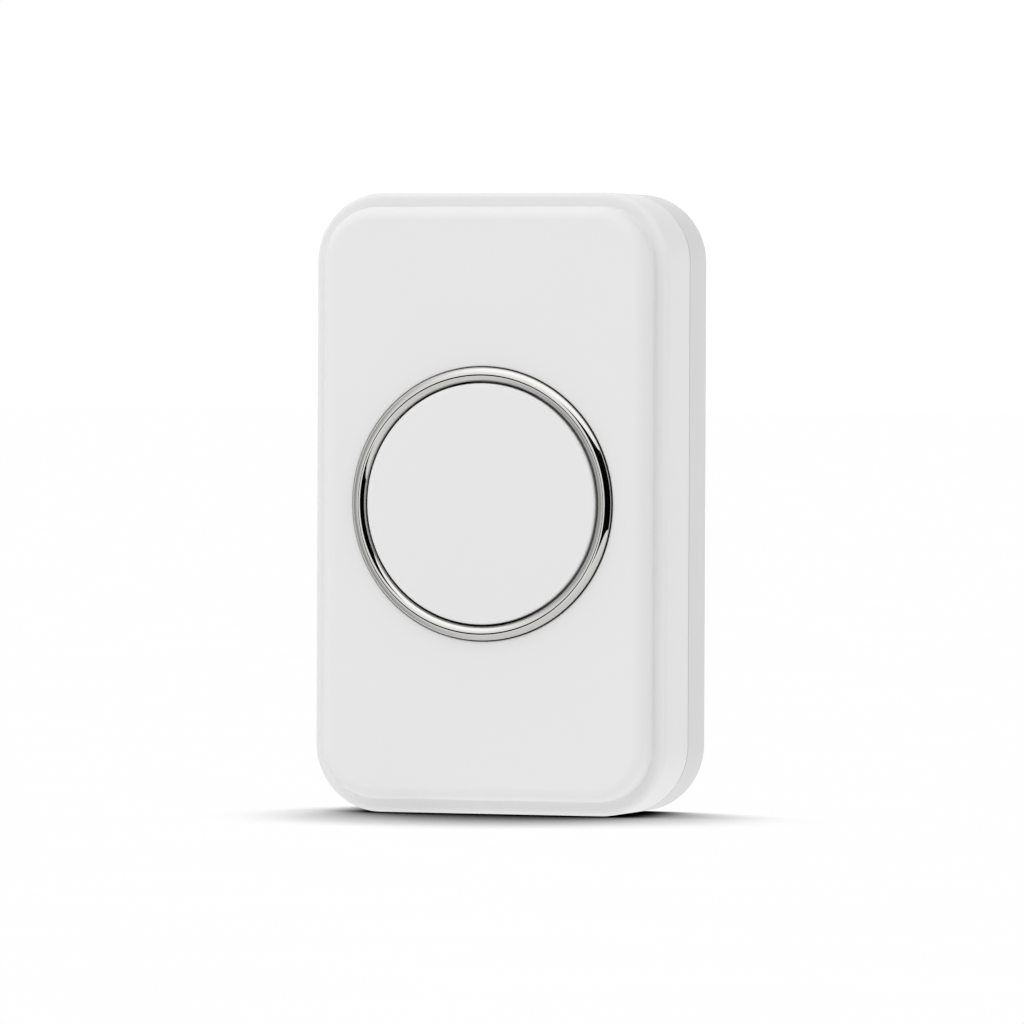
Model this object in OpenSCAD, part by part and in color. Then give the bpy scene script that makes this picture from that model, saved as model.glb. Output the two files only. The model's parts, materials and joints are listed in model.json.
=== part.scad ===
// Kinetic doorbell push: a wireless bell button that makes its own power when it is pressed.
// It stands upright and faces -Y, with the origin under its middle on the surface it stands on.
// Pieces are drawn lying on their backs, x across, y up the case and z from the wall to the face,
// and are then stood up. All sizes are in millimetres.

/* [Case] */
// Height of the case
body_h = 86; // [84:0.5:110]
// Width of the case
body_w = 51.4; // [50:0.2:70]
// Corner radius of the case, seen from the front
corner_r = 9.5; // [9:0.25:12]
// Depth of the rear shell's side, from the wall to the seam
rear_side = 8.05; // [7.5:0.05:12]
// Depth of the front shell's side, from the seam to the ledge
front_side = 9.95; // [9:0.05:14]
// Height of the raised panel above the ledge
panel_rise = 3.4; // [3:0.1:5]
// Width of the ledge round the raised panel
ledge_w = 2; // [1.2:0.02:2.4]
// Edge radius of the raised panel
panel_round = 1.8; // [0.8:0.1:2.6]
// Edge radius of the ledge
ledge_round = 0.8; // [0.2:0.1:1]
// Edge radius at the back of the case
rear_round = 0.8; // [0.2:0.1:1.2]
// Wall thickness of both shells
wall_t = 2.2; // [2:0.1:2.8]
// Thickness of the raised panel
panel_t = 2.2; // [1.8:0.1:2.6]
// Thickness of the rear shell's floor
floor_t = 1.8; // [1.4:0.1:2.4]

/* [Seam] */
// Open gap between the shells at the seam
seam_gap = 0.25; // [0.1:0.05:0.5]
// Thickness of the rear shell's lip
lip_t = 0.9; // [0.7:0.1:1]
// Height of the lip inside the front shell
lip_h = 1.6; // [1:0.1:2.5]
// Clearance round the lip
lip_gap = 0.1; // [0.05:0.05:0.2]
// Width of the gasket cord
gasket_w = 0.7; // [0.5:0.05:0.8]
// Depth of the gasket cord
gasket_d = 0.95; // [0.6:0.05:1.4]
// Inset of the gasket from the outside of the case
gasket_inset = 0.3; // [0.2:0.05:0.4]

/* [Trim ring] */
// Outer diameter of the chromed bead
ring_d = 37.7; // [34:0.1:39]
// Width of the bead
bead_w = 1.9; // [1.6:0.1:2.6]
// Height of the bead above the panel
bead_h = 0.85; // [0.5:0.05:1]
// Height of the rounded crown at the top of the bead
bead_crown = 0.55; // [0.35:0.05:0.8]
// Wall of the ring's sleeve in the panel
sleeve_t = 1; // [0.8:0.1:1.4]
// Depth of the sleeve behind the panel's face
sleeve_d = 2.9; // [2.7:0.1:3.2]
// Clearance between the sleeve and the panel
sleeve_gap = 0.05; // [0.02:0.01:0.1]
// Number of clips behind the panel
clip_count = 4; // [2:2:8]
// Reach of each clip
clip_out = 0.6; // [0.3:0.1:1]
// Angle that each clip spans
clip_angle = 24; // [10:1:30]

/* [Button] */
// Gap between the button and the ring
button_gap = 0.3; // [0.2:0.05:0.5]
// Height of the button's face above the panel
button_proud = 0.75; // [0.3:0.05:1]
// Edge radius of the button's face
button_round = 0.3; // [0.1:0.1:1.4]
// Thickness of the button's face
button_t = 1.8; // [1.4:0.1:2.4]
// Wall of the button's skirt
skirt_t = 1.5; // [1.2:0.1:2]
// Reach of the stop flange beyond the skirt
flange_out = 1.65; // [1:0.05:2]
// Thickness of the stop flange
flange_t = 1.1; // [0.8:0.1:1.4]
// Gap between the flange and the ring's sleeve at rest
stop_gap = 0.3; // [0.1:0.05:0.5]
// Press travel
travel = 2.2; // [1.6:0.1:2.6]
// Reach of the guide ears beyond the flange
ear_out = 2; // [1.5:0.1:2.4]
// Width of the guide ears
ear_w = 5.2; // [4:0.2:7]
// Width of the guide ribs in the case
rib_w = 2; // [1.6:0.1:2.4]
// Clearance of the ears on the ribs
rib_gap = 0.3; // [0.2:0.05:0.5]
// Radius of the plunger that presses the lever
boss_r = 2.2; // [1.6:0.1:2.6]
// Height of the plunger above the middle of the button
boss_y = 4.5; // [3:0.5:5]
// Gap between the plunger and the lever at rest
boss_gap = 0.15; // [0.1:0.05:0.3]

/* [Return springs] */
// Distance of each spring from the middle
spring_x = 11.8; // [11.6:0.1:12]
// Outer diameter of the springs
spring_d = 4.9; // [4.4:0.1:5.2]
// Wire diameter of the springs
spring_wire = 0.5; // [0.4:0.05:0.7]
// Length of the springs at rest
spring_l = 8.8; // [7.5:0.1:10]
// Turns of each spring
spring_turns = 7; // [5:1:9]
// Radius of the pins that centre the springs
spring_pin_r = 1.4; // [1:0.1:1.5]
// Length of those pins
spring_pin_l = 1.5; // [1:0.1:2]
// Wall of the posts beyond the springs
post_wall = 0.45; // [0.3:0.05:0.6]

/* [Coil] */
// Height of the coil's middle, from the middle of the case
coil_y = -6; // [-7:0.5:-5]
// Length of the winding
coil_l = 14; // [12:0.5:15]
// Width of the winding
coil_w = 9.6; // [9:0.1:10]
// Depth of the winding
coil_d = 6.4; // [6:0.1:6.8]
// Edge radius of the winding
coil_round = 1.2; // [0.5:0.1:2]
// Width of the bobbin's flanges
bobbin_w = 10.5; // [10:0.1:11]
// Depth of the bobbin's flanges
bobbin_d = 7.2; // [7:0.1:8]
// Thickness of the bobbin's flanges
bobbin_t = 1; // [0.8:0.1:1.4]
// Wall of the bobbin's tube
tube_t = 0.8; // [0.6:0.1:1]
// Width of the iron core
core_w = 5; // [4:0.1:5.4]
// Thickness of the iron core
core_t = 1.8; // [1.4:0.1:2]
// Reach of the core's tip beyond the bobbin
core_tip = 4; // [3.5:0.1:5]
// Clearance round the core
core_gap = 0.05; // [0.02:0.01:0.1]
// Radius of the terminal pins
terminal_r = 0.35; // [0.25:0.05:0.5]
// Distance of each terminal pin from the middle
terminal_x = 3.6; // [3.4:0.1:4]
// Reach of the terminal pins below the bobbin
terminal_l = 2.4; // [2.2:0.1:3]

/* [Rocker] */
// Travel of the poles past the core's tip
pole_travel = 1.35; // [1:0.05:1.5]
// Air gap at the pole that rests on the core
pole_gap = 0.1; // [0.05:0.05:0.2]
// Thickness of the pole plates
pole_t = 1; // [0.8:0.1:1.2]
// Width of the pole plates
pole_w = 9; // [7:0.2:10]
// Gap between the bobbin and the pole plates
pole_start = 1.5; // [1:0.1:2]
// Length of the magnet
magnet_l = 3.6; // [3:0.1:4]
// Width of the magnet
magnet_w = 8; // [6:0.2:8.8]
// Gap between the core's tip and the magnet
magnet_gap = 0.6; // [0.4:0.1:1]
// Wall of the rocker behind the magnet
rocker_wall = 3.7; // [3:0.1:4]
// Thickness of the rocker's arms
arm_t = 1.6; // [1.2:0.1:2]
// Depth of the rocker's arms
arm_d = 2.8; // [2.4:0.1:3]
// Clearance between the arms and the bobbin
arm_gap = 0.65; // [0.4:0.05:1]
// Clearance between the arms and the cheeks
side_gap = 0.6; // [0.4:0.05:1]
// Distance of the rocker's pivot below the bobbin
pivot_out = 1; // [0.8:0.1:1.6]
// Radius of the rocker's pivots
pivot_r = 1; // [0.8:0.05:1.1]
// Running clearance of the pivots and the lever pin
pin_gap = 0.05; // [0.02:0.01:0.09]

/* [Lever] */
// Distance from the lever's pin to the plunger
lever_arm = 25; // [24:0.5:27]
// Thickness of the lever
lever_t = 1.2; // [1:0.1:1.4]
// Clearance between the lever and the rocker at full press
swing_gap = 0.35; // [0.3:0.05:0.6]
// Clearance between the lever and the cheeks
lever_gap = 0.3; // [0.2:0.05:0.5]
// Radius of the lever's ears
lever_ear_r = 1.7; // [1.5:0.1:2]
// Length of the lever's pressed end
lever_pad_l = 7.8; // [7:0.1:8.5]
// Length of the lever's hinged end
lever_root_l = 5; // [4:0.1:5.4]
// Radius of the lever pin
lever_pin_r = 0.9; // [0.7:0.05:1]
// Outer diameter of the lever's torsion spring
lever_spring_d = 3.8; // [3.4:0.1:4.2]
// Wire diameter of the torsion spring
lever_spring_wire = 0.4; // [0.3:0.05:0.5]
// Turns of the torsion spring
lever_spring_turns = 3; // [2:1:5]
// Thickness of the snap leaf
leaf_t = 0.4; // [0.3:0.05:0.5]
// Width of the snap leaf
leaf_w = 6; // [5:0.2:7]
// Length of the leaf that lies on the lever
leaf_seat = 3.6; // [3.2:0.1:4]
// Gap between the leaf and the end of the rocker
leaf_gap = 1; // [0.8:0.1:1.4]
// Reach of the leaf's tip into the rocker
leaf_tip = 1.3; // [1:0.1:1.5]
// Play of the leaf's tip in the rocker's pocket
leaf_play = 0.4; // [0.3:0.05:0.5]
// Radius of the leaf's rivets
rivet_r = 0.6; // [0.4:0.05:0.8]
// Distance of each rivet from the middle
rivet_x = 1.6; // [1.4:0.1:1.8]

/* [Generator base] */
// Thickness of the base
base_t = 1.6; // [1.4:0.1:2]
// Width of the base
base_w = 27.4; // [27:0.2:29]
// Thickness of the cheeks
cheek_t = 2; // [1.6:0.1:2.4]
// Margin of the cheeks round the pins
cheek_margin = 2.1; // [1.8:0.1:2.6]
// Length of the base below the cheeks
base_tail = 5.8; // [5.5:0.1:7]
// Distance of the upper base screws from the middle
base_screw_x = 10.8; // [10.6:0.1:11.2]
// Height of the upper base screws above the springs
base_screw_y = 6; // [5.8:0.1:6.4]

/* [Circuit board] */
// Width of the board
board_w = 28; // [26:0.5:29]
// Height of the board
board_h = 18.5; // [18:0.5:21]
// Thickness of the board
board_t = 1.2; // [0.8:0.1:1.6]
// Height of the board above the floor
board_lift = 4.6; // [4:0.1:6]
// Gap between the snap leaf and the board
board_gap = 2.2; // [1.6:0.1:3]
// Inset of the board's posts from its edges
board_inset = 3; // [2.6:0.1:3.4]
// Radius of the board's posts
board_post_r = 2.2; // [1.8:0.1:2.4]
// Diameter of the storage capacitor
cap_d = 6.3; // [5:0.1:6.5]
// Height of the storage capacitor
cap_h = 5.6; // [4:0.1:7]
// Inset of the storage capacitor from the side of the board
cap_inset = 2; // [1.5:0.1:2.5]
// Length of the crystal can
crystal_l = 10.2; // [8:0.1:10.6]
// Width of the crystal can
crystal_w = 3.8; // [3:0.1:4]
// Height of the crystal can
crystal_h = 3.4; // [2.5:0.1:4]
// Inset of the crystal can from the side of the board
crystal_inset = 1.9; // [1.5:0.1:2.3]
// Flat at each end of the crystal can
crystal_flat = 0.2; // [0.1:0.05:0.5]
// Length of the transmitter chip
chip_l = 5; // [4:0.1:5.4]
// Width of the transmitter chip
chip_w = 4; // [3:0.1:4.2]
// Height of the transmitter chip
chip_h = 1.5; // [1.2:0.1:2]
// Width of the chip's legs
leg_w = 0.4; // [0.3:0.02:0.5]
// Thickness of the chip's legs
leg_t = 0.4; // [0.2:0.05:0.5]
// Reach of the chip's legs
leg_out = 0.8; // [0.5:0.1:1]
// Distance between the chip's legs
leg_pitch = 1.25; // [0.8:0.05:1.3]
// Length of each rectifier diode
diode_l = 2.4; // [2:0.1:2.6]
// Width of each rectifier diode
diode_w = 1.4; // [1:0.1:1.6]
// Height of each rectifier diode
diode_h = 1; // [0.7:0.1:1.4]
// Distance between the rectifier diodes
diode_pitch = 2.8; // [2:0.1:3]
// Inset of the diodes from the edges of the board
diode_inset = 1.4; // [1:0.1:1.8]
// Outer diameter of the antenna coil
antenna_d = 5.2; // [4:0.1:5.4]
// Length of the antenna coil
antenna_l = 16; // [12:0.5:17]
// Turns of the antenna coil
antenna_turns = 8; // [5:1:9]
// Wire diameter of the antenna coil
antenna_wire = 0.8; // [0.5:0.05:0.9]
// Diameter of the coil leads
lead_d = 0.7; // [0.5:0.05:0.9]

/* [Wall plate] */
// Thickness of the wall plate
plate_t = 2; // [1.8:0.1:2.6]
// Inset of the wall plate from the outside of the case
plate_inset = 3.4; // [3:0.1:3.6]
// Clearance round the wall plate
plate_gap = 0.2; // [0.1:0.05:0.3]
// Clearance between the wall plate and the floor
plate_seat = 0.1; // [0.05:0.05:0.2]
// Height of the wall plate beyond the back of the case
plate_proud = 0.3; // [0.1:0.05:0.5]
// Distance between the wall screws
hole_pitch = 56; // [50:1:60]
// Radius of the wall screw holes
hole_r = 2.1; // [1.6:0.1:2.4]
// Radius of the countersinks
sink_r = 3.6; // [3:0.1:3.8]
// Radius of the plate's pegs
peg_r = 2; // [1.5:0.1:2.4]
// Length of the plate's pegs
peg_l = 2.6; // [2:0.1:3]
// Inset of the pegs from the sides of the plate
peg_inset_x = 5.2; // [5:0.1:5.4]
// Inset of the pegs from the ends of the plate
peg_inset_y = 9.6; // [9.2:0.1:10]
// Running clearance of the pegs
peg_gap = 0.05; // [0.02:0.01:0.09]
// Wall of the sockets round the pegs
socket_t = 1.1; // [0.8:0.1:1.2]
// Width of the foam pad
pad_w = 36; // [28:0.5:40]
// Height of the foam pad
pad_h = 44; // [30:0.5:46]
// Thickness of the foam pad
pad_t = 1; // [0.8:0.1:1.6]
// Depth of the pad's recess in the plate
pad_sunk = 0.4; // [0.2:0.05:0.6]
// Corner radius of the foam pad
pad_r = 4; // [2:0.5:6]
// Clearance round the foam pad in its recess
pad_gap = 0.2; // [0.1:0.05:0.4]

/* [Screws] */
// Inset of the case screws from the edges of the case
screw_inset = 6.4; // [6.2:0.1:6.8]
// Radius of the case screws
screw_r = 1.25; // [1:0.05:1.4]
// Length of the case screws
screw_l = 12; // [9:0.5:14]
// Head radius of the case screws
head_r = 2.2; // [1.9:0.1:2.3]
// Head height of the case screws
head_h = 1.5; // [1.2:0.1:1.7]
// Wall of the bosses round the case screws
boss_wall = 1.35; // [1:0.05:1.4]
// Radius of the small screws
small_r = 0.9; // [0.7:0.05:1.1]
// Length of the small screws under their heads
small_l = 2.6; // [2:0.1:2.8]
// Head radius of the base screws
washer_r = 2.5; // [2.4:0.1:2.6]
// Head radius of the board screws
small_head_r = 1.7; // [1.5:0.1:1.9]
// Head height of the small screws
small_head_h = 1; // [0.8:0.1:1.3]
// Width of the cross recess in each screw
cross_w = 0.5; // [0.3:0.05:0.6]
// Radial gap of the screws and pressed pins
thread_gap = 0.03; // [0.01:0.01:0.05]
// Clearance round the case screws in the rear shell
screw_gap = 0.2; // [0.1:0.05:0.3]
// Clearance of the pieces that are seated inside the case
seat_gap = 0.1; // [0.05:0.05:0.2]

/* [Hidden] */
$fn = 64;

// Overshoot of every cut
over = 0.5;

// Fineness of the wound wires
turn_steps = 8;
wire_sides = 6;
lead_sides = 8;

// Case heights above the back of the case
recess_z = plate_t - plate_proud + plate_seat;
floor_z = recess_z + floor_t;
seam_z = rear_side;
ledge_z = seam_z + front_side;
panel_z = ledge_z + panel_rise;
panel_in_z = panel_z - panel_t;
crest_z = panel_z + bead_h;
back_z = -plate_proud - pad_t + pad_sunk;
mid_depth = (crest_z + back_z) / 2;
screw_x = body_w / 2 - screw_inset;
screw_y = body_h / 2 - screw_inset;
boss_out_r = screw_r + boss_wall;
head_seat_z = recess_z + head_h + seat_gap;

// Ring and button
ring_r = ring_d / 2;
ring_in_r = ring_r - bead_w;
bead_arc_r = (bead_w * bead_w / 4 + bead_crown * bead_crown) / (2 * bead_crown);
sleeve_r = ring_in_r + sleeve_t;
opening_r = sleeve_r + sleeve_gap;
sleeve_z = panel_z - sleeve_d;
button_r = ring_in_r - button_gap;
face_z = panel_z + button_proud;
under_z = face_z - button_t;
flange_top_z = sleeve_z - stop_gap;
flange_z = flange_top_z - flange_t;
flange_r = button_r + flange_out;
rib_x = opening_r + rib_gap;
ear_x = flange_r + ear_out;

// Generator heights and places
base_z = floor_z + base_t;
axis_z = base_z + bobbin_d / 2;
core_low_z = axis_z - core_t / 2;
core_top_z = axis_z + core_t / 2;
front_pole_z = core_top_z + pole_gap + pole_travel;
front_pole_top_z = front_pole_z + pole_t;
rear_pole_top_z = core_low_z - pole_gap;
rear_pole_z = rear_pole_top_z - pole_t;
bobbin_low_y = coil_y - coil_l / 2 - bobbin_t;
bobbin_top_y = coil_y + coil_l / 2 + bobbin_t;
core_back_y = bobbin_low_y - core_t;
core_tip_y = bobbin_top_y + core_tip;
pole_y = bobbin_top_y + pole_start;
magnet_y = core_tip_y + magnet_gap;
magnet_end_y = magnet_y + magnet_l;
rocker_end_y = magnet_end_y + rocker_wall;
rocker_y = bobbin_low_y - pivot_out;
rocker_deg = asin(pole_travel / (core_tip_y - rocker_y));
arm_x = bobbin_w / 2 + arm_gap;
arm_out_x = arm_x + arm_t;
cheek_x = arm_out_x + side_gap;

// Lever heights and places
lever_y = boss_y - lever_arm;
lever_deg = asin(travel / lever_arm);
lever_half = cheek_x - lever_gap;
lever_end_y = boss_y - boss_r + lever_pad_l + boss_gap;
function closing(y) = (y - lever_y) * sin(lever_deg) - (y - rocker_y) * sin(rocker_deg);
lever_z = front_pole_top_z + closing(magnet_end_y) + swing_gap;
lever_top_z = lever_z + lever_t;
lever_pin_z = lever_z - lever_spring_d / 2 - swing_gap;
boss_tip_z = lever_top_z + boss_gap;
leaf_end_y = rocker_end_y + leaf_gap + leaf_t;
leaf_tip_y = rocker_end_y - leaf_tip;
leaf_tip_z = axis_z + arm_d / 2 - leaf_t;
rivet_y = lever_end_y - leaf_seat / 2;

// Base, springs and board
post_r = spring_d / 2 + post_wall;
post_z = under_z - boss_gap - spring_l;
cheek_low_y = lever_y - cheek_margin;
cheek_top_y = rocker_y + cheek_margin;
base_low_y = cheek_low_y - base_tail;
base_top_y = base_screw_y + washer_r;
base_notch_y = magnet_y - pole_start / 2;
base_boss_r = small_r + boss_wall;
tail_screw_y = base_low_y + base_tail / 2;
board_z = floor_z + board_lift;
board_top_z = board_z + board_t;
board_y = leaf_end_y + board_gap;
board_end_y = board_y + board_h;
board_x = board_w / 2;
board_post_x = board_x - board_inset;
antenna_r = (antenna_d - antenna_wire) / 2;
antenna_y = board_end_y - antenna_d / 2 - antenna_wire;
antenna_z = board_top_z + antenna_d / 2 + antenna_wire;
part_y = antenna_y - antenna_d / 2 - antenna_wire;
cap_x = cap_inset - board_x + cap_d / 2;
crystal_x = board_x - crystal_inset - crystal_l / 2;
chip_x = (cap_x + cap_d / 2 + crystal_x - crystal_l / 2) / 2;
diode_x = board_x - diode_inset - diode_w / 2;
diode_y = board_y + diode_inset + diode_l / 2;

// Wall plate
plate_w = body_w - 2 * plate_inset;
plate_h = body_h - 2 * plate_inset;
plate_r = corner_r - plate_inset;
plate_top_z = recess_z - plate_seat;
peg_x = plate_w / 2 - peg_inset_x;
peg_y = plate_h / 2 - peg_inset_y;
socket_z = plate_top_z + peg_l + plate_seat;

echo(lever_deg = lever_deg, rocker_deg = rocker_deg);
echo(lever_pin = [lever_y + body_h / 2, mid_depth - lever_pin_z]);
echo(rocker_pivot = [rocker_y + body_h / 2, mid_depth - axis_z]);
echo(spring_gap = spring_l / spring_turns - spring_wire);

// Stands a piece up from its drawing position
module stand() {
    translate([0, mid_depth, body_h / 2])
        rotate([90, 0, 0])
            children();
}

// A box between two opposite corners
module block(low, high) {
    translate(low)
        cube(high - low);
}

// Copies on both sides of the middle
module both_sides(x) {
    for (side = [-1, 1])
        translate([side * x, 0, 0])
            children();
}

// Copies at the four corners of a rectangle
module four_corners(x, y) {
    for (side = [-1, 1], end = [-1, 1])
        translate([side * x, end * y, 0])
            children();
}

// The waste outside a rounded corner that points to +x and +y
module corner_waste(r) {
    translate([-r, -r])
        difference() {
            square(r + over);
            circle(r);
        }
}

// Right half of a slab's section, with its edges rounded
module half_section(half, t, top_r, low_r) {
    difference() {
        square([half, t]);
        if (top_r > 0)
            translate([half, t])
                corner_waste(top_r);
        if (low_r > 0)
            translate([half, 0])
                mirror([0, 1])
                    corner_waste(low_r);
    }
}

// Whole section of a slab
module full_section(half, t, top_r, low_r) {
    half_section(half, t, top_r, low_r);
    mirror([1, 0])
        half_section(half, t, top_r, low_r);
}

// A slab with round corners and round edges
module soft_slab(w, h, r, t, top_r, low_r) {
    rotate([90, 0, 0])
        linear_extrude(h - 2 * r, center = true)
            full_section(w / 2, t, top_r, low_r);
    rotate([90, 0, 90])
        linear_extrude(w - 2 * r, center = true)
            full_section(h / 2, t, top_r, low_r);
    four_corners(w / 2 - r, h / 2 - r)
        rotate_extrude()
            half_section(r, t, top_r, low_r);
}

// A rectangle with round corners
module outline(w, h, r) {
    square([w - 2 * r, h], center = true);
    square([w, h - 2 * r], center = true);
    four_corners(w / 2 - r, h / 2 - r)
        circle(r);
}

// The case's outline, drawn in by an inset, between two heights
module case_prism(inset, low, high) {
    translate([0, 0, low])
        linear_extrude(high - low)
            outline(body_w - 2 * inset, body_h - 2 * inset, corner_r - inset);
}

// A screw with a cross recess, its head seated at z = 0 and its shank along +z
module screw(shank_r, shank_l, top_r, top_h) {
    difference() {
        union() {
            cylinder(h = shank_l, r = shank_r);
            translate([0, 0, -top_h])
                cylinder(h = top_h, r = top_r);
        }
        for (turn = [0, 90])
            rotate([0, 0, turn])
                block([-shank_r, -cross_w / 2, -top_h - over], [shank_r, cross_w / 2, -top_h / 2]);
    }
}

function unit(v) = v / norm(v);
function turned(d, side) = unit(cross(d, side));

// Points along a helix about the z axis
function helix(r, low, high, turns) = [
    for (i = [0 : turns * turn_steps])
        let (a = i * 360 / turn_steps, z = low + (high - low) * i / (turns * turn_steps))
            [r * cos(a), r * sin(a), z]
];

// Direction of a path at one of its points
function heading(path, i) = unit(path[min(i + 1, len(path) - 1)] - path[max(i - 1, 0)]);

// A round tube along a path, as one closed surface
module tube(path, r, sides, side) {
    last = len(path) - 1;
    points = [
        for (i = [0 : last])
            let (d = heading(path, i), u = turned(d, side), v = cross(d, u))
                for (k = [0 : sides - 1])
                    path[i] + r * (cos(360 * k / sides) * u + sin(360 * k / sides) * v)
    ];
    walls = [
        for (i = [0 : last - 1], k = [0 : sides - 1], half = [0, 1])
            let (a = i * sides + k, b = i * sides + (k + 1) % sides)
                half == 0 ? [a, a + sides, b] : [b, a + sides, b + sides]
    ];
    start = [for (k = [1 : sides - 2]) [0, k, k + 1]];
    end = [for (k = [1 : sides - 2]) [last * sides, last * sides + k + 1, last * sides + k]];
    polyhedron(points, concat(walls, start, end));
}

// Front of the case: ledge, raised panel, screw bosses and the ribs that guide the button
module front_shell() {
    inner = ledge_w + wall_t;
    color("white")
        stand()
            difference() {
                union() {
                    difference() {
                        union() {
                            translate([0, 0, seam_z])
                                soft_slab(body_w, body_h, corner_r, front_side, ledge_round, 0);
                            translate([0, 0, ledge_z - wall_t])
                                soft_slab(body_w - 2 * ledge_w, body_h - 2 * ledge_w, corner_r - ledge_w,
                                    panel_rise + wall_t, panel_round, 0);
                        }
                        case_prism(wall_t - lip_t - lip_gap, seam_z - over, seam_z + lip_h + lip_gap);
                        case_prism(wall_t, seam_z, ledge_z - wall_t);
                        case_prism(inner, seam_z, panel_in_z);
                    }
                    four_corners(screw_x, screw_y)
                        translate([0, 0, seam_z])
                            cylinder(h = panel_in_z - seam_z + over, r = boss_out_r);
                    for (side = [0, 180])
                        rotate([0, 0, side])
                            block([rib_x, -rib_w / 2, flange_z - travel],
                                [body_w / 2 - inner + over, rib_w / 2, panel_in_z + over]);
                }
                translate([0, 0, panel_in_z - over])
                    cylinder(h = panel_t + 2 * over, r = opening_r);
                four_corners(screw_x, screw_y)
                    translate([0, 0, seam_z - over])
                        cylinder(h = head_seat_z + screw_l - seam_z + 2 * over, r = screw_r + thread_gap);
            }
}

// Chromed bead with a sleeve that clips through the panel
module trim_ring() {
    color("silver")
        stand() {
            rotate_extrude() {
                intersection() {
                    translate([ring_r - bead_w / 2, crest_z - bead_arc_r])
                        circle(bead_arc_r);
                    translate([ring_in_r, panel_z])
                        square([bead_w, bead_h + over]);
                }
                translate([ring_in_r, sleeve_z])
                    square([sleeve_t, sleeve_d]);
            }
            for (i = [0 : clip_count - 1])
                rotate([0, 0, (i + 0.5) * 360 / clip_count - clip_angle / 2])
                    rotate_extrude(angle = clip_angle)
                        translate([sleeve_r - sleeve_t / 2, sleeve_z])
                            square([sleeve_t / 2 + clip_out, panel_in_z - sleeve_gap - sleeve_z]);
        }
}

// Round push button with its skirt, stop flange, guide ears, plunger and spring pins
module button_cap() {
    color("white")
        stand() {
            difference() {
                union() {
                    translate([0, 0, flange_z])
                        rotate_extrude()
                            half_section(button_r, face_z - flange_z, button_round, 0);
                    translate([0, 0, flange_z])
                        cylinder(h = flange_t, r = flange_r);
                    block([-ear_x, -ear_w / 2, flange_z], [ear_x, ear_w / 2, flange_top_z]);
                }
                translate([0, 0, flange_z - over])
                    cylinder(h = under_z - flange_z + over, r = button_r - skirt_t);
                for (side = [0, 180])
                    rotate([0, 0, side])
                        block([rib_x - rib_gap, -rib_w / 2 - rib_gap, flange_z - over],
                            [ear_x + over, rib_w / 2 + rib_gap, flange_top_z + over]);
                block([-lever_half - lever_gap, -flange_r - over, flange_z - over],
                    [lever_half + lever_gap, 0, flange_z + travel]);
            }
            translate([0, boss_y, boss_tip_z + boss_r]) {
                sphere(boss_r);
                cylinder(h = under_z - boss_tip_z - boss_r + over, r = boss_r);
            }
            both_sides(spring_x)
                translate([0, 0, under_z - spring_pin_l])
                    cylinder(h = spring_pin_l + over, r = spring_pin_r);
        }
}

// Back of the case: floor, lip, gasket groove, posts, bosses and the sockets for the wall plate
module rear_shell() {
    color("white")
        stand()
            difference() {
                union() {
                    difference() {
                        union() {
                            soft_slab(body_w, body_h, corner_r, rear_side - seam_gap, 0, rear_round);
                            case_prism(wall_t - lip_t, rear_side - seam_gap - over, seam_z + lip_h);
                        }
                        case_prism(wall_t, floor_z, seam_z + lip_h + over);
                    }
                    four_corners(screw_x, screw_y)
                        translate([0, 0, recess_z])
                            cylinder(h = seam_z - recess_z, r = boss_out_r + head_r - screw_r);
                    four_corners(peg_x, peg_y)
                        translate([0, 0, recess_z])
                            cylinder(h = socket_z - recess_z + socket_t, r = peg_r + socket_t);
                    translate([0, 0, recess_z]) {
                        both_sides(base_screw_x)
                            translate([0, base_screw_y, 0])
                                cylinder(h = base_z - recess_z - seat_gap, r = base_boss_r);
                        translate([0, tail_screw_y, 0])
                            cylinder(h = base_z - recess_z - seat_gap, r = base_boss_r);
                        both_sides(board_post_x)
                            for (y = [board_y + board_inset, board_end_y - board_inset])
                                translate([0, y, 0])
                                    cylinder(h = board_z - recess_z, r = board_post_r);
                    }
                }
                difference() {
                    case_prism(gasket_inset, seam_z - gasket_d, seam_z);
                    case_prism(gasket_inset + gasket_w, seam_z - gasket_d - over, seam_z + over);
                }
                case_prism(plate_inset - plate_gap, -over, recess_z);
                four_corners(screw_x, screw_y) {
                    cylinder(h = head_seat_z, r = head_r + screw_gap);
                    cylinder(h = seam_z + over, r = screw_r + screw_gap);
                }
                four_corners(peg_x, peg_y)
                    cylinder(h = socket_z, r = peg_r + peg_gap);
                both_sides(base_screw_x)
                    translate([0, base_screw_y, base_z - small_l - seat_gap])
                        cylinder(h = small_l + over, r = small_r + thread_gap);
                translate([0, tail_screw_y, base_z - small_l - seat_gap])
                    cylinder(h = small_l + over, r = small_r + thread_gap);
                both_sides(board_post_x)
                    translate([0, board_end_y - board_inset, board_top_z - small_l - seat_gap])
                        cylinder(h = small_l + over, r = small_r + thread_gap);
            }
}

// Soft cord that seals the seam
module case_gasket() {
    color("dimgray")
        stand()
            difference() {
                case_prism(gasket_inset, seam_z - gasket_d, seam_z);
                case_prism(gasket_inset + gasket_w, seam_z - gasket_d - over, seam_z + over);
            }
}

// Four screws that hold the shells together
module case_screws() {
    color("gray")
        stand()
            four_corners(screw_x, screw_y)
                translate([0, 0, head_seat_z])
                    screw(screw_r, screw_l, head_r, head_h);
}

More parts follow.
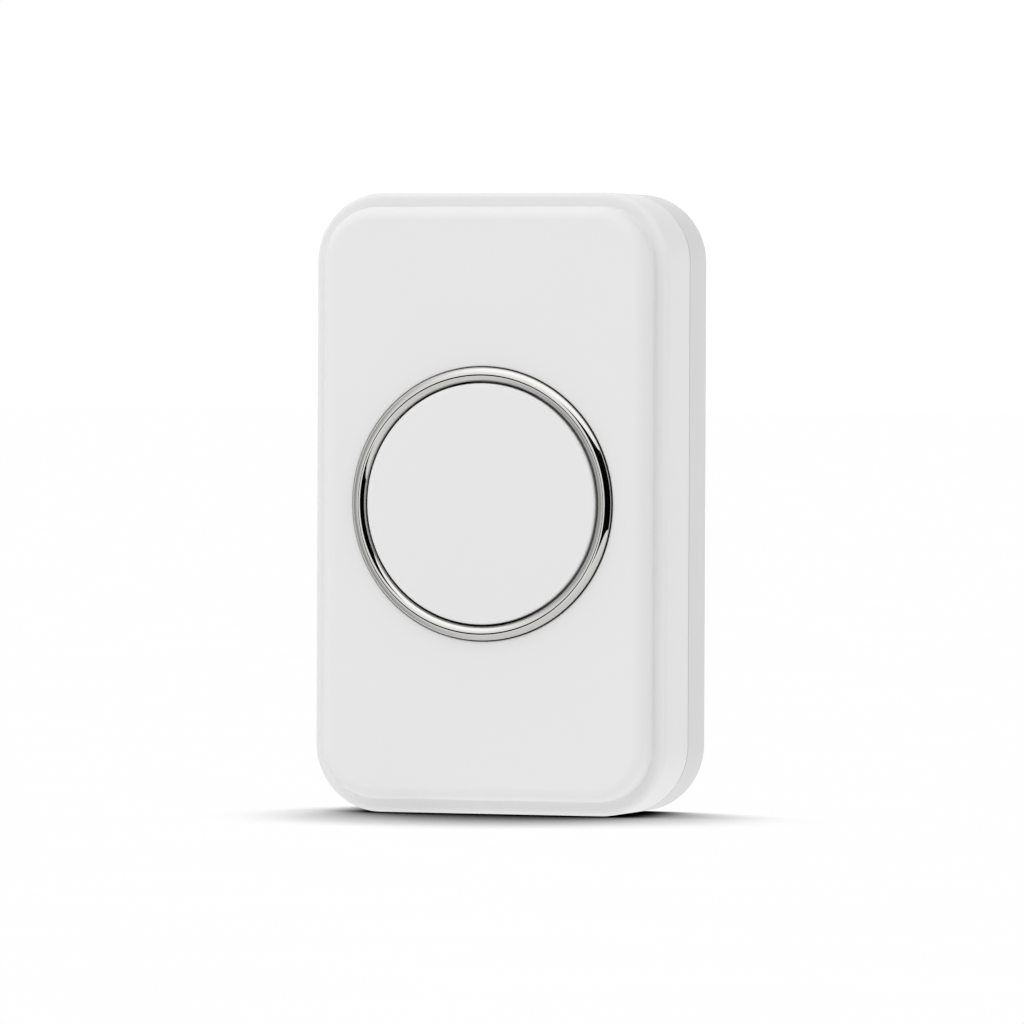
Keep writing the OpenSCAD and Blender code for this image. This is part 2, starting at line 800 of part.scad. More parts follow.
// Plate that is fastened to the wall, with pegs that hold the push
module wall_plate() {
    sink_d = sink_r - hole_r;
    color("white")
        stand() {
            difference() {
                translate([0, 0, -plate_proud])
                    linear_extrude(plate_t)
                        outline(plate_w, plate_h, plate_r);
                for (end = [-1, 1])
                    translate([0, end * hole_pitch / 2, 0]) {
                        translate([0, 0, -plate_proud - over])
                            cylinder(h = plate_t + 2 * over, r = hole_r);
                        translate([0, 0, plate_top_z - sink_d])
                            cylinder(h = sink_d + over, r1 = hole_r, r2 = sink_r + over);
                    }
                translate([0, 0, -plate_proud - over])
                    linear_extrude(pad_sunk + over)
                        outline(pad_w + 2 * pad_gap, pad_h + 2 * pad_gap, pad_r + pad_gap);
            }
            four_corners(peg_x, peg_y)
                translate([0, 0, plate_top_z - plate_t / 2])
                    cylinder(h = peg_l + plate_t / 2, r = peg_r);
        }
}

// Foam tape on the wall plate
module adhesive_pad() {
    color("dimgray")
        stand()
            translate([0, 0, back_z])
                linear_extrude(pad_t)
                    outline(pad_w, pad_h, pad_r);
}

// Frame of the generator: base, cheeks with the pivot bores, and posts for the return springs
module generator_base() {
    channel_x = core_w / 2 + seat_gap;
    color("lightsteelblue")
        stand()
            difference() {
                union() {
                    block([-base_w / 2, base_low_y, floor_z], [base_w / 2, base_top_y, base_z]);
                    for (side = [0, 1])
                        mirror([side, 0, 0])
                            block([cheek_x, cheek_low_y, floor_z],
                                [cheek_x + cheek_t, cheek_top_y, lever_pin_z + cheek_margin]);
                    both_sides(spring_x) {
                        translate([0, 0, floor_z])
                            cylinder(h = post_z - floor_z, r = post_r);
                        translate([0, 0, post_z - over])
                            cylinder(h = spring_pin_l + over, r = spring_pin_r);
                    }
                }
                block([-channel_x, core_back_y - seat_gap, floor_z - over],
                    [channel_x, base_top_y + over, base_z + over]);
                block([-cheek_x, base_notch_y, floor_z - over], [cheek_x, base_top_y + over, base_z + over]);
                both_sides(base_screw_x)
                    translate([0, base_screw_y, floor_z - over])
                        cylinder(h = base_t + 2 * over, r = base_boss_r + seat_gap);
                translate([0, tail_screw_y, floor_z - over])
                    cylinder(h = base_t + 2 * over, r = base_boss_r + seat_gap);
                translate([-cheek_x - cheek_t - over, rocker_y, axis_z])
                    rotate([0, 90, 0])
                        cylinder(h = 2 * (cheek_x + cheek_t + over), r = pivot_r + pin_gap);
                translate([-cheek_x - cheek_t - over, lever_y, lever_pin_z])
                    rotate([0, 90, 0])
                        cylinder(h = 2 * (cheek_x + cheek_t + over), r = lever_pin_r + thread_gap);
            }
}

// Three screws that hold the generator's base
module generator_screws() {
    color("gray")
        stand()
            for (place = [[-base_screw_x, base_screw_y], [base_screw_x, base_screw_y], [0, tail_screw_y]])
                translate([place[0], place[1], base_z])
                    rotate([180, 0, 0])
                        screw(small_r, small_l, washer_r, small_head_h);
}

// Moulded former of the coil
module coil_bobbin() {
    tube_x = core_w / 2 + core_gap + tube_t;
    tube_z = core_t / 2 + core_gap + tube_t;
    color("ivory")
        stand()
            difference() {
                union() {
                    block([-tube_x, bobbin_low_y, axis_z - tube_z], [tube_x, bobbin_top_y, axis_z + tube_z]);
                    for (y = [bobbin_low_y, bobbin_top_y - bobbin_t])
                        block([-bobbin_w / 2, y, axis_z - bobbin_d / 2],
                            [bobbin_w / 2, y + bobbin_t, axis_z + bobbin_d / 2]);
                }
                block([-core_w / 2 - core_gap, bobbin_low_y - over, core_low_z - core_gap],
                    [core_w / 2 + core_gap, bobbin_top_y + over, core_top_z + core_gap]);
                both_sides(terminal_x)
                    translate([0, bobbin_low_y + bobbin_t + over, base_z + bobbin_t])
                        rotate([90, 0, 0])
                            cylinder(h = bobbin_t + 2 * over, r = terminal_r + thread_gap);
            }
}

// Copper winding on the bobbin
module coil_winding() {
    tube_x = core_w / 2 + core_gap + tube_t;
    tube_z = core_t / 2 + core_gap + tube_t;
    color("peru")
        stand()
            translate([0, coil_y + coil_l / 2, axis_z])
                rotate([90, 0, 0])
                    linear_extrude(coil_l)
                        difference() {
                            outline(coil_w, coil_d, coil_round);
                            square([2 * tube_x, 2 * tube_z], center = true);
                        }
}

// Two pins in the bobbin where the winding ends
module terminal_pins() {
    color("gold")
        stand()
            both_sides(terminal_x)
                translate([0, bobbin_low_y + bobbin_t, base_z + bobbin_t])
                    rotate([90, 0, 0])
                        cylinder(h = bobbin_t + terminal_l, r = terminal_r);
}

// U-shaped iron core, one leg through the coil and one in the base
module iron_core() {
    leg_low_z = floor_z + seat_gap;
    leg_top_z = base_z - seat_gap;
    color("darkgray")
        stand() {
            block([-core_w / 2, core_back_y, core_low_z], [core_w / 2, core_tip_y, core_top_z]);
            block([-core_w / 2, core_back_y, leg_low_z], [core_w / 2, bobbin_low_y, core_top_z]);
            block([-core_w / 2, core_back_y, leg_low_z], [core_w / 2, bobbin_top_y + pole_start, leg_top_z]);
        }
}

// Moulded rocker that carries the magnet between two arms
module magnet_rocker() {
    arm_end_r = arm_d / 2;
    pocket_low_z = leaf_tip_z - closing(rocker_end_y) - leaf_play;
    color("lightgray")
        stand()
            difference() {
                union() {
                    for (side = [0, 1])
                        mirror([side, 0, 0]) {
                            block([arm_x, rocker_y, axis_z - arm_end_r],
                                [arm_out_x, rocker_end_y, axis_z + arm_end_r]);
                            translate([arm_x, rocker_y, axis_z])
                                rotate([0, 90, 0]) {
                                    cylinder(h = arm_t, r = arm_end_r);
                                    cylinder(h = arm_t + side_gap + cheek_t, r = pivot_r);
                                }
                        }
                    block([-arm_out_x, magnet_y, rear_pole_z], [arm_out_x, rocker_end_y, front_pole_top_z]);
                }
                block([-pole_w / 2, magnet_y - over, rear_pole_z - over],
                    [pole_w / 2, magnet_end_y, front_pole_top_z + over]);
                block([-leaf_w / 2 - leaf_play, leaf_tip_y - leaf_play, pocket_low_z],
                    [leaf_w / 2 + leaf_play, rocker_end_y + over, leaf_tip_z + leaf_t + leaf_play]);
            }
}

// Block magnet between the pole plates
module magnet() {
    color("slategray")
        stand()
            block([-magnet_w / 2, magnet_y, rear_pole_top_z], [magnet_w / 2, magnet_end_y, front_pole_z]);
}

// A pole plate with its lower face at the given height
module pole_plate(z) {
    color("darkgray")
        stand()
            block([-pole_w / 2, pole_y, z], [pole_w / 2, magnet_end_y, z + pole_t]);
}

// Pole plate on the button's side of the core
module front_pole_plate() {
    pole_plate(front_pole_z);
}

// Pole plate on the wall's side of the core
module rear_pole_plate() {
    pole_plate(rear_pole_z);
}

// Lever that the plunger presses, open over the coil
module push_lever() {
    pad_y = lever_end_y - lever_pad_l;
    color("lightgray")
        stand()
            difference() {
                union() {
                    difference() {
                        block([-lever_half, lever_y - lever_ear_r, lever_z],
                            [lever_half, lever_end_y, lever_top_z]);
                        block([-arm_x, lever_y + lever_root_l, lever_z - over],
                            [arm_x, pad_y, lever_top_z + over]);
                    }
                    for (side = [0, 1])
                        mirror([side, 0, 0]) {
                            block([arm_x, lever_y - lever_ear_r, lever_pin_z],
                                [lever_half, lever_y + lever_ear_r, lever_top_z]);
                            translate([arm_x, lever_y, lever_pin_z])
                                rotate([0, 90, 0])
                                    cylinder(h = lever_half - arm_x, r = lever_ear_r);
                        }
                }
                translate([-lever_half - over, lever_y, lever_pin_z])
                    rotate([0, 90, 0])
                        cylinder(h = 2 * (lever_half + over), r = lever_pin_r + pin_gap);
                both_sides(rivet_x)
                    translate([0, rivet_y, lever_z - over])
                        cylinder(h = lever_t + 2 * over, r = rivet_r + thread_gap);
            }
}

// Steel pin that the lever turns on
module lever_pin() {
    color("silver")
        stand()
            translate([-cheek_x - cheek_t, lever_y, lever_pin_z])
                rotate([0, 90, 0])
                    cylinder(h = 2 * (cheek_x + cheek_t), r = lever_pin_r);
}

// Torsion spring on the pin, with one leg on the base and one under the lever
module lever_spring() {
    r = (lever_spring_d - lever_spring_wire) / 2;
    half = lever_spring_turns * lever_spring_wire;
    turn = [for (p = helix(r, -half, half, lever_spring_turns + 0.25)) [p[2], -p[0], p[1]]];
    low_leg = [-half, -r, base_z + lever_spring_wire - lever_pin_z];
    top_leg = [half, lever_root_l - r, lever_z - lever_spring_wire - lever_pin_z];
    color("silver")
        stand()
            translate([0, lever_y, lever_pin_z])
                tube(concat([low_leg], turn, [top_leg]), lever_spring_wire / 2, wire_sides, [1, 0, 0]);
}

// Spring leaf on the lever that flips the rocker
module snap_leaf() {
    half = leaf_w / 2;
    color("silver")
        stand()
            difference() {
                union() {
                    block([-half, lever_end_y - leaf_seat, lever_top_z],
                        [half, leaf_end_y, lever_top_z + leaf_t]);
                    block([-half, leaf_end_y - leaf_t, leaf_tip_z], [half, leaf_end_y, lever_top_z + leaf_t]);
                    block([-half, leaf_tip_y, leaf_tip_z], [half, leaf_end_y, leaf_tip_z + leaf_t]);
                }
                both_sides(rivet_x)
                    translate([0, rivet_y, lever_top_z - over])
                        cylinder(h = leaf_t + 2 * over, r = rivet_r + thread_gap);
            }
}

// Two rivets that hold the leaf on the lever
module leaf_rivets() {
    color("gold")
        stand()
            both_sides(rivet_x)
                translate([0, rivet_y, lever_z]) {
                    cylinder(h = lever_t + leaf_t, r = rivet_r);
                    translate([0, 0, lever_t + leaf_t])
                        cylinder(h = leaf_t, r = rivet_r + leaf_t);
                }
}

// Coil spring under the button
module return_spring(x) {
    r = (spring_d - spring_wire) / 2;
    low = post_z + spring_wire / 2;
    color("silver")
        stand()
            translate([x, 0, 0])
                tube(helix(r, low, low + spring_l - spring_wire, spring_turns), spring_wire / 2,
                    wire_sides, [0, 0, 1]);
}

module return_spring_left() {
    return_spring(-spring_x);
}

module return_spring_right() {
    return_spring(spring_x);
}

// Circuit board with the rectifier and the transmitter
module circuit_board() {
    color("seagreen")
        stand()
            difference() {
                block([-board_x, board_y, board_z], [board_x, board_end_y, board_top_z]);
                both_sides(board_post_x)
                    translate([0, board_end_y - board_inset, board_z - over])
                        cylinder(h = board_t + 2 * over, r = small_r + seat_gap);
            }
}

// Two screws that hold the board
module board_screws() {
    color("gray")
        stand()
            both_sides(board_post_x)
                translate([0, board_end_y - board_inset, board_top_z])
                    rotate([180, 0, 0])
                        screw(small_r, small_l, small_head_r, small_head_h);
}

// Radio chip with four legs on each side
module transmitter_chip() {
    color("black")
        stand()
            translate([chip_x, part_y - chip_w / 2 - leg_out, board_top_z]) {
                block([-chip_l / 2, -chip_w / 2, leg_t / 2], [chip_l / 2, chip_w / 2, chip_h]);
                for (i = [-1.5 : 1.5])
                    block([i * leg_pitch - leg_w / 2, -chip_w / 2 - leg_out, 0],
                        [i * leg_pitch + leg_w / 2, chip_w / 2 + leg_out, leg_t]);
            }
}

// Round capacitor that stores one press
module storage_capacitor() {
    color("silver")
        stand()
            translate([cap_x, part_y - cap_d / 2, board_top_z])
                cylinder(h = cap_h, r = cap_d / 2);
}

// Metal can of the crystal
module crystal_can() {
    color("silver")
        stand()
            translate([crystal_x, part_y - crystal_w / 2, board_top_z])
                linear_extrude(crystal_h)
                    outline(crystal_l, crystal_w, (crystal_w - crystal_flat) / 2);
}

// Four diodes of the rectifier
module rectifier_diodes() {
    color("black")
        stand()
            for (i = [0 : 3])
                translate([diode_x - i * diode_pitch, diode_y, board_top_z])
                    block([-diode_w / 2, -diode_l / 2, 0], [diode_w / 2, diode_l / 2, diode_h]);
}

// Wire antenna wound in a coil, standing on the board
module antenna_coil() {
    half = antenna_l / 2;
    turn = [for (p = helix(antenna_r, -half, half, antenna_turns)) [p[2], p[1], p[0]]];
    foot_z = board_top_z - antenna_z;
    path = concat([[-half - antenna_wire, 0, foot_z], [-half - antenna_wire, 0, 0]], turn);
    color("peru")
        stand()
            translate([0, antenna_y, antenna_z])
                tube(path, antenna_wire / 2, wire_sides, [1, 0, 0]);
}

// Two wires from the coil to the board
module coil_leads() {
    low_z = floor_z + lead_d / 2 + seat_gap;
    base_lead_z = base_z + lead_d / 2 + 2 * seat_gap;
    turn_y = cheek_low_y - lead_d - seat_gap;
    out_x = base_w / 2 + lead_d + cheek_t;
    start_y = bobbin_low_y - terminal_l;
    route = [
        [terminal_x, start_y - seat_gap, base_z + bobbin_t],
        [terminal_x, start_y - 1, base_z + bobbin_t],
        [terminal_x + 0.4, start_y - 2.5, base_lead_z],
        [terminal_x + 0.6, turn_y + 2, base_lead_z],
        [terminal_x + 1.4, turn_y + 0.4, base_lead_z],
        [terminal_x + 3, turn_y, base_lead_z],
        [base_w / 2 - 1, turn_y, base_lead_z],
        [base_w / 2 + 1, turn_y + 0.3, base_lead_z - 0.2],
        [out_x - 0.4, turn_y + 1.2, low_z + 0.4],
        [out_x, turn_y + 3, low_z],
        [out_x, base_screw_y, low_z],
        [out_x - 0.5, board_y - 4, low_z + 0.5],
        [out_x - 3, board_y - 1.5, low_z + 1.2],
        [board_x / 2 + 1, board_y + 1.6, board_z - 1.6],
        [board_x / 2, board_y + 2, board_z - 0.8],
        [board_x / 2, board_y + 2, board_z]
    ];
    color("firebrick")
        stand()
            for (side = [0, 1])
                mirror([side, 0, 0])
                    tube(route, lead_d / 2, lead_sides, unit([1, 2, 4]));
}

front_shell();
trim_ring();
button_cap();
rear_shell();
case_gasket();
case_screws();
wall_plate();
adhesive_pad();
generator_base();
generator_screws();
coil_bobbin();
coil_winding();
terminal_pins();
iron_core();
magnet_rocker();
magnet();
front_pole_plate();
rear_pole_plate();
push_lever();
lever_pin();
lever_spring();
snap_leaf();
leaf_rivets();
return_spring_left();
return_spring_right();
circuit_board();
board_screws();
transmitter_chip();
storage_capacitor();
crystal_can();
rectifier_diodes();
antenna_coil();
coil_leads();
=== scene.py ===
# Looks of the kinetic doorbell push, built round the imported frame.
# Pieces are drawn lying on their backs, x across, y up the case and z from the wall to the face,
# and are then stood up into the frame. All sizes are in metres.
import json
import math

import bmesh
import bpy
from mathutils import Matrix, Quaternion, Vector


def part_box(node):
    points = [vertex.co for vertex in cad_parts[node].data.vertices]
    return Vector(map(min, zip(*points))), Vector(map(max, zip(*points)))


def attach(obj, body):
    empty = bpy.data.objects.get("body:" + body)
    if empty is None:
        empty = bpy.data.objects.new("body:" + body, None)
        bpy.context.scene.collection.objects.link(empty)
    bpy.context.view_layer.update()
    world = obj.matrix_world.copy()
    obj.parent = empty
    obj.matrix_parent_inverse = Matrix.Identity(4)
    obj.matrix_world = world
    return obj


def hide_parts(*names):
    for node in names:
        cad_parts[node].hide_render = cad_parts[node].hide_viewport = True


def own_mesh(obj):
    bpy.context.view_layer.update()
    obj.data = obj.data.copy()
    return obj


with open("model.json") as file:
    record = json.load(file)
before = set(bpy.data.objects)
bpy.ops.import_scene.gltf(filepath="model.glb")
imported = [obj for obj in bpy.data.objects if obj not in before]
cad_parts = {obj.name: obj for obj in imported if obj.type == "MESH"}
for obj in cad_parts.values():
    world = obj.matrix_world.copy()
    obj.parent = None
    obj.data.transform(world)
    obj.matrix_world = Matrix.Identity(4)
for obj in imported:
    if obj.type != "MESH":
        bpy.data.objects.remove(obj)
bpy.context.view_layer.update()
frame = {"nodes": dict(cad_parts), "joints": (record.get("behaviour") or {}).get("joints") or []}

MM = 0.001

# Places and movements that the frame gives
front_low, front_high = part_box("front_shell")
rear_low, rear_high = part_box("rear_shell")
ring_low, ring_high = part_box("trim_ring")
button_low, button_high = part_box("button_cap")
plate_low, plate_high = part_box("wall_plate")
pad_low, pad_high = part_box("adhesive_pad")
gasket_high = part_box("case_gasket")[1]
case_w = front_high.x - front_low.x
case_h = front_high.z - front_low.z
case_back = rear_high.y
middle_h = case_h / 2
joints = {joint["name"]: joint for joint in frame["joints"]}
press_travel = joints["button_press"]["range_m"][1]
STAND = Matrix.Translation((0, case_back, middle_h)) @ Matrix.Rotation(math.pi / 2, 4, "X")


def height_of(y):
    """Height above the back of the case of a depth in the frame."""
    return case_back - y


# Heights above the back of the case
panel_z = height_of(front_low.y)
seam_z = height_of(front_high.y)
lip_z = height_of(rear_low.y)
crest_z = height_of(ring_low.y)
sleeve_z = height_of(ring_high.y)
face_z = height_of(button_low.y)
plate_back_z = height_of(plate_high.y)
pad_back_z = height_of(pad_high.y)
pad_front_z = height_of(pad_low.y)

# Sizes of the case, as in the part's source
corner_r = 9.5 * MM
ledge_w = 2 * MM
panel_rise = 3.4 * MM
panel_round = 1.8 * MM
ledge_round = 0.8 * MM
ledge_foot = 0.22 * MM
rear_round = 0.8 * MM
edge_round = 0.12 * MM
overlap = 0.12 * MM
wall_t = 2.2 * MM
panel_t = 2.2 * MM
lip_t = 0.9 * MM
lip_gap = 0.1 * MM
seam_gap = 0.25 * MM
gasket_w = 0.7 * MM
recess_z = 1.8 * MM
floor_z = 3.6 * MM
ledge_z = panel_z - panel_rise
panel_in_z = panel_z - panel_t
rear_rim_z = seam_z - seam_gap
gasket_inset = front_high.x - gasket_high.x
gasket_low_z = height_of(gasket_high.y)

# Sizes of the ring and the button
ring_r = ring_high.x
bead_w = 1.9 * MM
bead_crown = 0.55 * MM
bead_lip = 0.1 * MM
sleeve_t = 1 * MM
opening_gap = 0.05 * MM
ring_groove = 0.16 * MM
ring_groove_d = 0.5 * MM
button_gap = 0.3 * MM
button_round = 0.3 * MM
button_t = 1.8 * MM
skirt_t = 1.5 * MM
flange_out = 1.65 * MM
flange_t = 1.1 * MM
stop_gap = 0.3 * MM
ring_in_r = ring_r - bead_w
opening_r = ring_in_r + sleeve_t + opening_gap
button_r = ring_in_r - button_gap

# Sizes inside the button
ear_out = 2 * MM
ear_w = 5.2 * MM
rib_w = 2 * MM
rib_gap = 0.3 * MM
plunger_r = 2.2 * MM
plunger_y = 4.5 * MM
spring_x = 11.8 * MM
spring_pin_r = 1.4 * MM
spring_pin_l = 1.5 * MM
lever_slot_x = 8.1 * MM
under_z = face_z - button_t
flange_top_z = sleeve_z - stop_gap
flange_z = flange_top_z - flange_t
flange_r = button_r + flange_out
rib_x = opening_r + rib_gap
tip_z = height_of(button_high.y)

# Sizes of the wall plate and the foam tape
plate_gap = 0.2 * MM
plate_t = 2 * MM
plate_edge = 0.3 * MM
peg_r = 2 * MM
peg_l = 2.6 * MM
peg_gap = 0.05 * MM
peg_inset_x = 5.2 * MM
peg_inset_y = 9.6 * MM
peg_round = 0.5 * MM
socket_t = 1.1 * MM
hole_pitch = 56 * MM
hole_r = 2.1 * MM
sink_r = 3.6 * MM
pad_r = 4 * MM
pad_sunk = 0.4 * MM
pad_draw = 0.18 * MM
pad_gap = 0.2 * MM
seat_gap = 0.1 * MM
plate_inset = front_high.x - plate_high.x
plate_w = plate_high.x - plate_low.x
plate_h = plate_high.z - plate_low.z
plate_r = corner_r - plate_inset
plate_top_z = plate_back_z + plate_t
peg_x = plate_w / 2 - peg_inset_x
peg_y = plate_h / 2 - peg_inset_y
pad_w = pad_high.x - pad_low.x
pad_h = pad_high.z - pad_low.z

# Sizes of the screws and their bosses
screw_inset = 6.4 * MM
screw_r = 1.25 * MM
screw_l = 12 * MM
head_r = 2.2 * MM
head_h = 1.5 * MM
boss_wall = 1.35 * MM
small_r = 0.9 * MM
small_l = 2.6 * MM
small_head_h = 1 * MM
washer_r = 2.5 * MM
small_head_r = 1.7 * MM
thread_gap = 0.03 * MM
screw_gap = 0.2 * MM
screw_x = case_w / 2 - screw_inset
screw_y = case_h / 2 - screw_inset
head_seat_z = recess_z + head_h + seat_gap
boss_out_r = screw_r + boss_wall
base_t = 1.6 * MM
base_z = floor_z + base_t
base_screw_x = 10.8 * MM
base_screw_y = 6 * MM
tail_screw_y = -25.5 * MM

# Shape of a screw, as shares of its shank's radius and its head's height
thread_pitch = 0.4
thread_core = 0.8
thread_land = 0.15
point_share = 0.5
cross_half = 0.25
cross_floor = 0.45
head_soft = 0.35

# Sizes of the board and what stands on it
board_low, board_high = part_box("circuit_board")
board_inset = 3 * MM
board_post_r = 2.2 * MM
board_z = height_of(board_high.y)
board_top_z = height_of(board_low.y)
board_y = board_low.z - middle_h
board_end_y = board_high.z - middle_h
board_post_x = board_high.x - board_inset

# Sizes of the springs and wires
spring_wire = 0.5 * MM
spring_turns = 7
lever_spring_wire = 0.4 * MM
lever_spring_turns = 3
lever_spring_d = 3.8 * MM
last_turn = 0.25
antenna_wire = 0.8 * MM
antenna_turns = 8
antenna_l = 16 * MM
lead_d = 0.7 * MM
winding_wire = 0.11 * MM
coil_round = 1.2 * MM
bobbin_t = 1 * MM

# Fineness of the meshes
CORNER_STEPS = 22
TURN_STEPS = 160
SMALL_STEPS = 48
SCREW_STEPS = 28
WIND_STEPS = 20
TORSION_STEPS = 66
TAPE_STEPS = 8
CARD_STEPS = 24
BEAD_STEPS = 40
PANEL_STEPS = 14
BUTTON_STEPS = 12
REAR_STEPS = 10
LEDGE_STEPS = 8
SOFT_STEPS = 5
EDGE_STEPS = 4
RIM_STEPS = 3
STRAND_SIDES = 6
SUPPORT = 0.35 * MM
WELD = 0.0005 * MM
SHARP_TURN = math.radians(32)


# Node trees that make the shapes
def new_tree(name, **sizes):
    """Starts a tree that takes a mesh, a material and named sizes."""
    tree = bpy.data.node_groups.new(name, "GeometryNodeTree")
    face = tree.interface
    face.new_socket("Geometry", in_out="INPUT", socket_type="NodeSocketGeometry")
    face.new_socket("Material", in_out="INPUT", socket_type="NodeSocketMaterial")
    for label, kind in sizes.items():
        face.new_socket(label, in_out="INPUT", socket_type="NodeSocket" + kind)
    face.new_socket("Geometry", in_out="OUTPUT", socket_type="NodeSocketGeometry")
    return tree, tree.nodes.new("NodeGroupInput").outputs


def add(tree, kind, inputs, **settings):
    """Adds a node, sets its modes and links or sets its inputs. Gives back its first output."""
    node = tree.nodes.new(kind)
    for setting, value in settings.items():
        setattr(node, setting, value)
    for label, value in inputs.items():
        if isinstance(value, bpy.types.NodeSocket):
            tree.links.new(value, node.inputs[label])
        else:
            node.inputs[label].default_value = value
    return node.outputs[0]


def close_tree(tree, start, geometry):
    """Ends a tree with real geometry in the material that was given."""
    real = add(tree, "GeometryNodeRealizeInstances", {"Geometry": geometry})
    painted = add(tree, "GeometryNodeSetMaterial", {"Geometry": real, "Material": start["Material"]})
    tree.links.new(painted, tree.nodes.new("NodeGroupOutput").inputs[0])
    return tree


def soft_box(tree, width, height, radius, steps):
    """A rectangle with round corners."""
    box = add(tree, "GeometryNodeCurvePrimitiveQuadrilateral", {"Width": width, "Height": height})
    rounding = {"Curve": box, "Radius": radius, "Count": steps}
    return add(tree, "GeometryNodeFilletCurve", rounding, mode="POLY")


def swept_along(tree, start, path):
    """Ends a tree with the section that was given, swept along a path."""
    section = add(tree, "GeometryNodeMeshToCurve", {"Mesh": start["Geometry"]})
    sweep = add(tree, "GeometryNodeCurveToMesh", {"Curve": path, "Profile Curve": section})
    return close_tree(tree, start, sweep)


def outline_sweep_tree():
    """A section swept round a rectangle with round corners."""
    sizes = {"Width": "Float", "Height": "Float", "Radius": "Float", "Steps": "Int"}
    tree, start = new_tree("outline_sweep", **sizes)
    return swept_along(tree, start, soft_box(tree, *(start[label] for label in sizes)))


def turning_tree():
    """A section swept round a circle, as on a lathe."""
    tree, start = new_tree("turning", Radius="Float", Steps="Int")
    ring = {"Radius": start["Radius"], "Resolution": start["Steps"]}
    return swept_along(tree, start, add(tree, "GeometryNodeCurvePrimitiveCircle", ring))


def wire_tree():
    """Round wire along a path."""
    tree, start = new_tree("wire", Radius="Float", Sides="Int")
    path = add(tree, "GeometryNodeMeshToCurve", {"Mesh": start["Geometry"]})
    ring = {"Radius": start["Radius"], "Resolution": start["Sides"]}
    section = add(tree, "GeometryNodeCurvePrimitiveCircle", ring)
    rod = {"Curve": path, "Profile Curve": section, "Fill Caps": True}
    return close_tree(tree, start, add(tree, "GeometryNodeCurveToMesh", rod))


def rows_tree():
    """Copies of one small shape at the crossings of a grid."""
    tree, start = new_tree(
        "rows", SpanX="Float", SpanY="Float", CountX="Int", CountY="Int", Middle="Vector"
    )
    spans = {"Size X": start["SpanX"], "Size Y": start["SpanY"]}
    counts = {"Vertices X": start["CountX"], "Vertices Y": start["CountY"]}
    grid = add(tree, "GeometryNodeMeshGrid", {**spans, **counts})
    moved = add(tree, "GeometryNodeTransform", {"Geometry": grid, "Translation": start["Middle"]})
    copies = {"Points": moved, "Instance": start["Geometry"]}
    return close_tree(tree, start, add(tree, "GeometryNodeInstanceOnPoints", copies))


def winding_tree():
    """Turns of wire laid side by side round a former."""
    tree, start = new_tree(
        "winding", Width="Float", Depth="Float", Radius="Float", Length="Float", Wire="Float"
    )
    turn = soft_box(tree, start["Width"], start["Depth"], start["Radius"], SOFT_STEPS)
    pitch = add(tree, "ShaderNodeMath", {0: start["Wire"], 1: 2.0}, operation="MULTIPLY")
    count = add(tree, "ShaderNodeMath", {0: start["Length"], 1: pitch}, operation="DIVIDE")
    step = add(tree, "ShaderNodeCombineXYZ", {"Z": pitch})
    line = add(tree, "GeometryNodeMeshLine", {"Count": count, "Offset": step})
    copies = {"Points": line, "Instance": turn}
    turns = add(tree, "GeometryNodeInstanceOnPoints", copies)
    loose = add(tree, "GeometryNodeRealizeInstances", {"Geometry": turns})
    ring = {"Radius": start["Wire"], "Resolution": STRAND_SIDES}
    section = add(tree, "GeometryNodeCurvePrimitiveCircle", ring)
    laid = add(tree, "GeometryNodeCurveToMesh", {"Curve": loose, "Profile Curve": section})
    return close_tree(tree, start, laid)


OUTLINE_SWEEP = outline_sweep_tree()
TURNING = turning_tree()
WIRE = wire_tree()
ROWS = rows_tree()
WINDING = winding_tree()


def placed(name, data):
    """A new object in the scene."""
    made = bpy.data.objects.new(name, data)
    bpy.context.scene.collection.objects.link(made)
    return made


def grown(mesh, tree, material, **sizes):
    """Runs a node tree on a mesh and gives back the plain mesh that it makes."""
    holder = placed("holder", mesh)
    modifier = holder.modifiers.new("shape", "NODES")
    modifier.node_group = tree
    values = {"Material": material, **sizes}
    for item in tree.interface.items_tree:
        if item.in_out == "INPUT" and item.name in values:
            modifier[item.identifier] = values[item.name]
    graph = bpy.context.evaluated_depsgraph_get()
    made = bpy.data.meshes.new_from_object(holder.evaluated_get(graph))
    bpy.data.objects.remove(holder)
    bpy.data.meshes.remove(mesh)
    return made


# Sections and small shapes
def arc(x, z, radius, start, end, steps):
    """Points of an arc about (x, z) from one angle to another, in degrees."""
    turns = [math.radians(start + (end - start) * i / steps) for i in range(steps + 1)]
    return [(x + radius * math.cos(turn), z + radius * math.sin(turn)) for turn in turns]


def line_mesh(points, closed=False):
    """A mesh of edges through points."""
    mesh = bpy.data.meshes.new("line")
    edges = [(i, i + 1) for i in range(len(points) - 1)]
    if closed:
        edges.append((len(points) - 1, 0))
    mesh.from_pydata(points, edges, [])
    return mesh


def section_mesh(points, middle=0.0, closed=False):
    """A section of (out, height) points, ready to sweep round a path at the given distance."""
    return line_mesh([(out - middle, -z, 0) for out, z in points], closed)


def swept(points, material, closed=False, w=case_w, h=case_h, r=corner_r):
    """A section round the case's outline, its points measured outwards from the case's side."""
    sizes = {"Width": w, "Height": h, "Radius": r, "Steps": CORNER_STEPS}
    return grown(section_mesh(points, closed=closed), OUTLINE_SWEEP, material, **sizes)


def turned(points, material, steps=SMALL_STEPS, at=(0, 0), closed=False):
    """A section of (radius, height) points turned about an upright axis."""
    middle = max(radius for radius, _ in points)
    section = section_mesh(points, middle, closed)
    mesh = grown(section, TURNING, material, Radius=middle, Steps=steps)
    mesh.transform(Matrix.Translation((at[0], at[1], 0)))
    return mesh


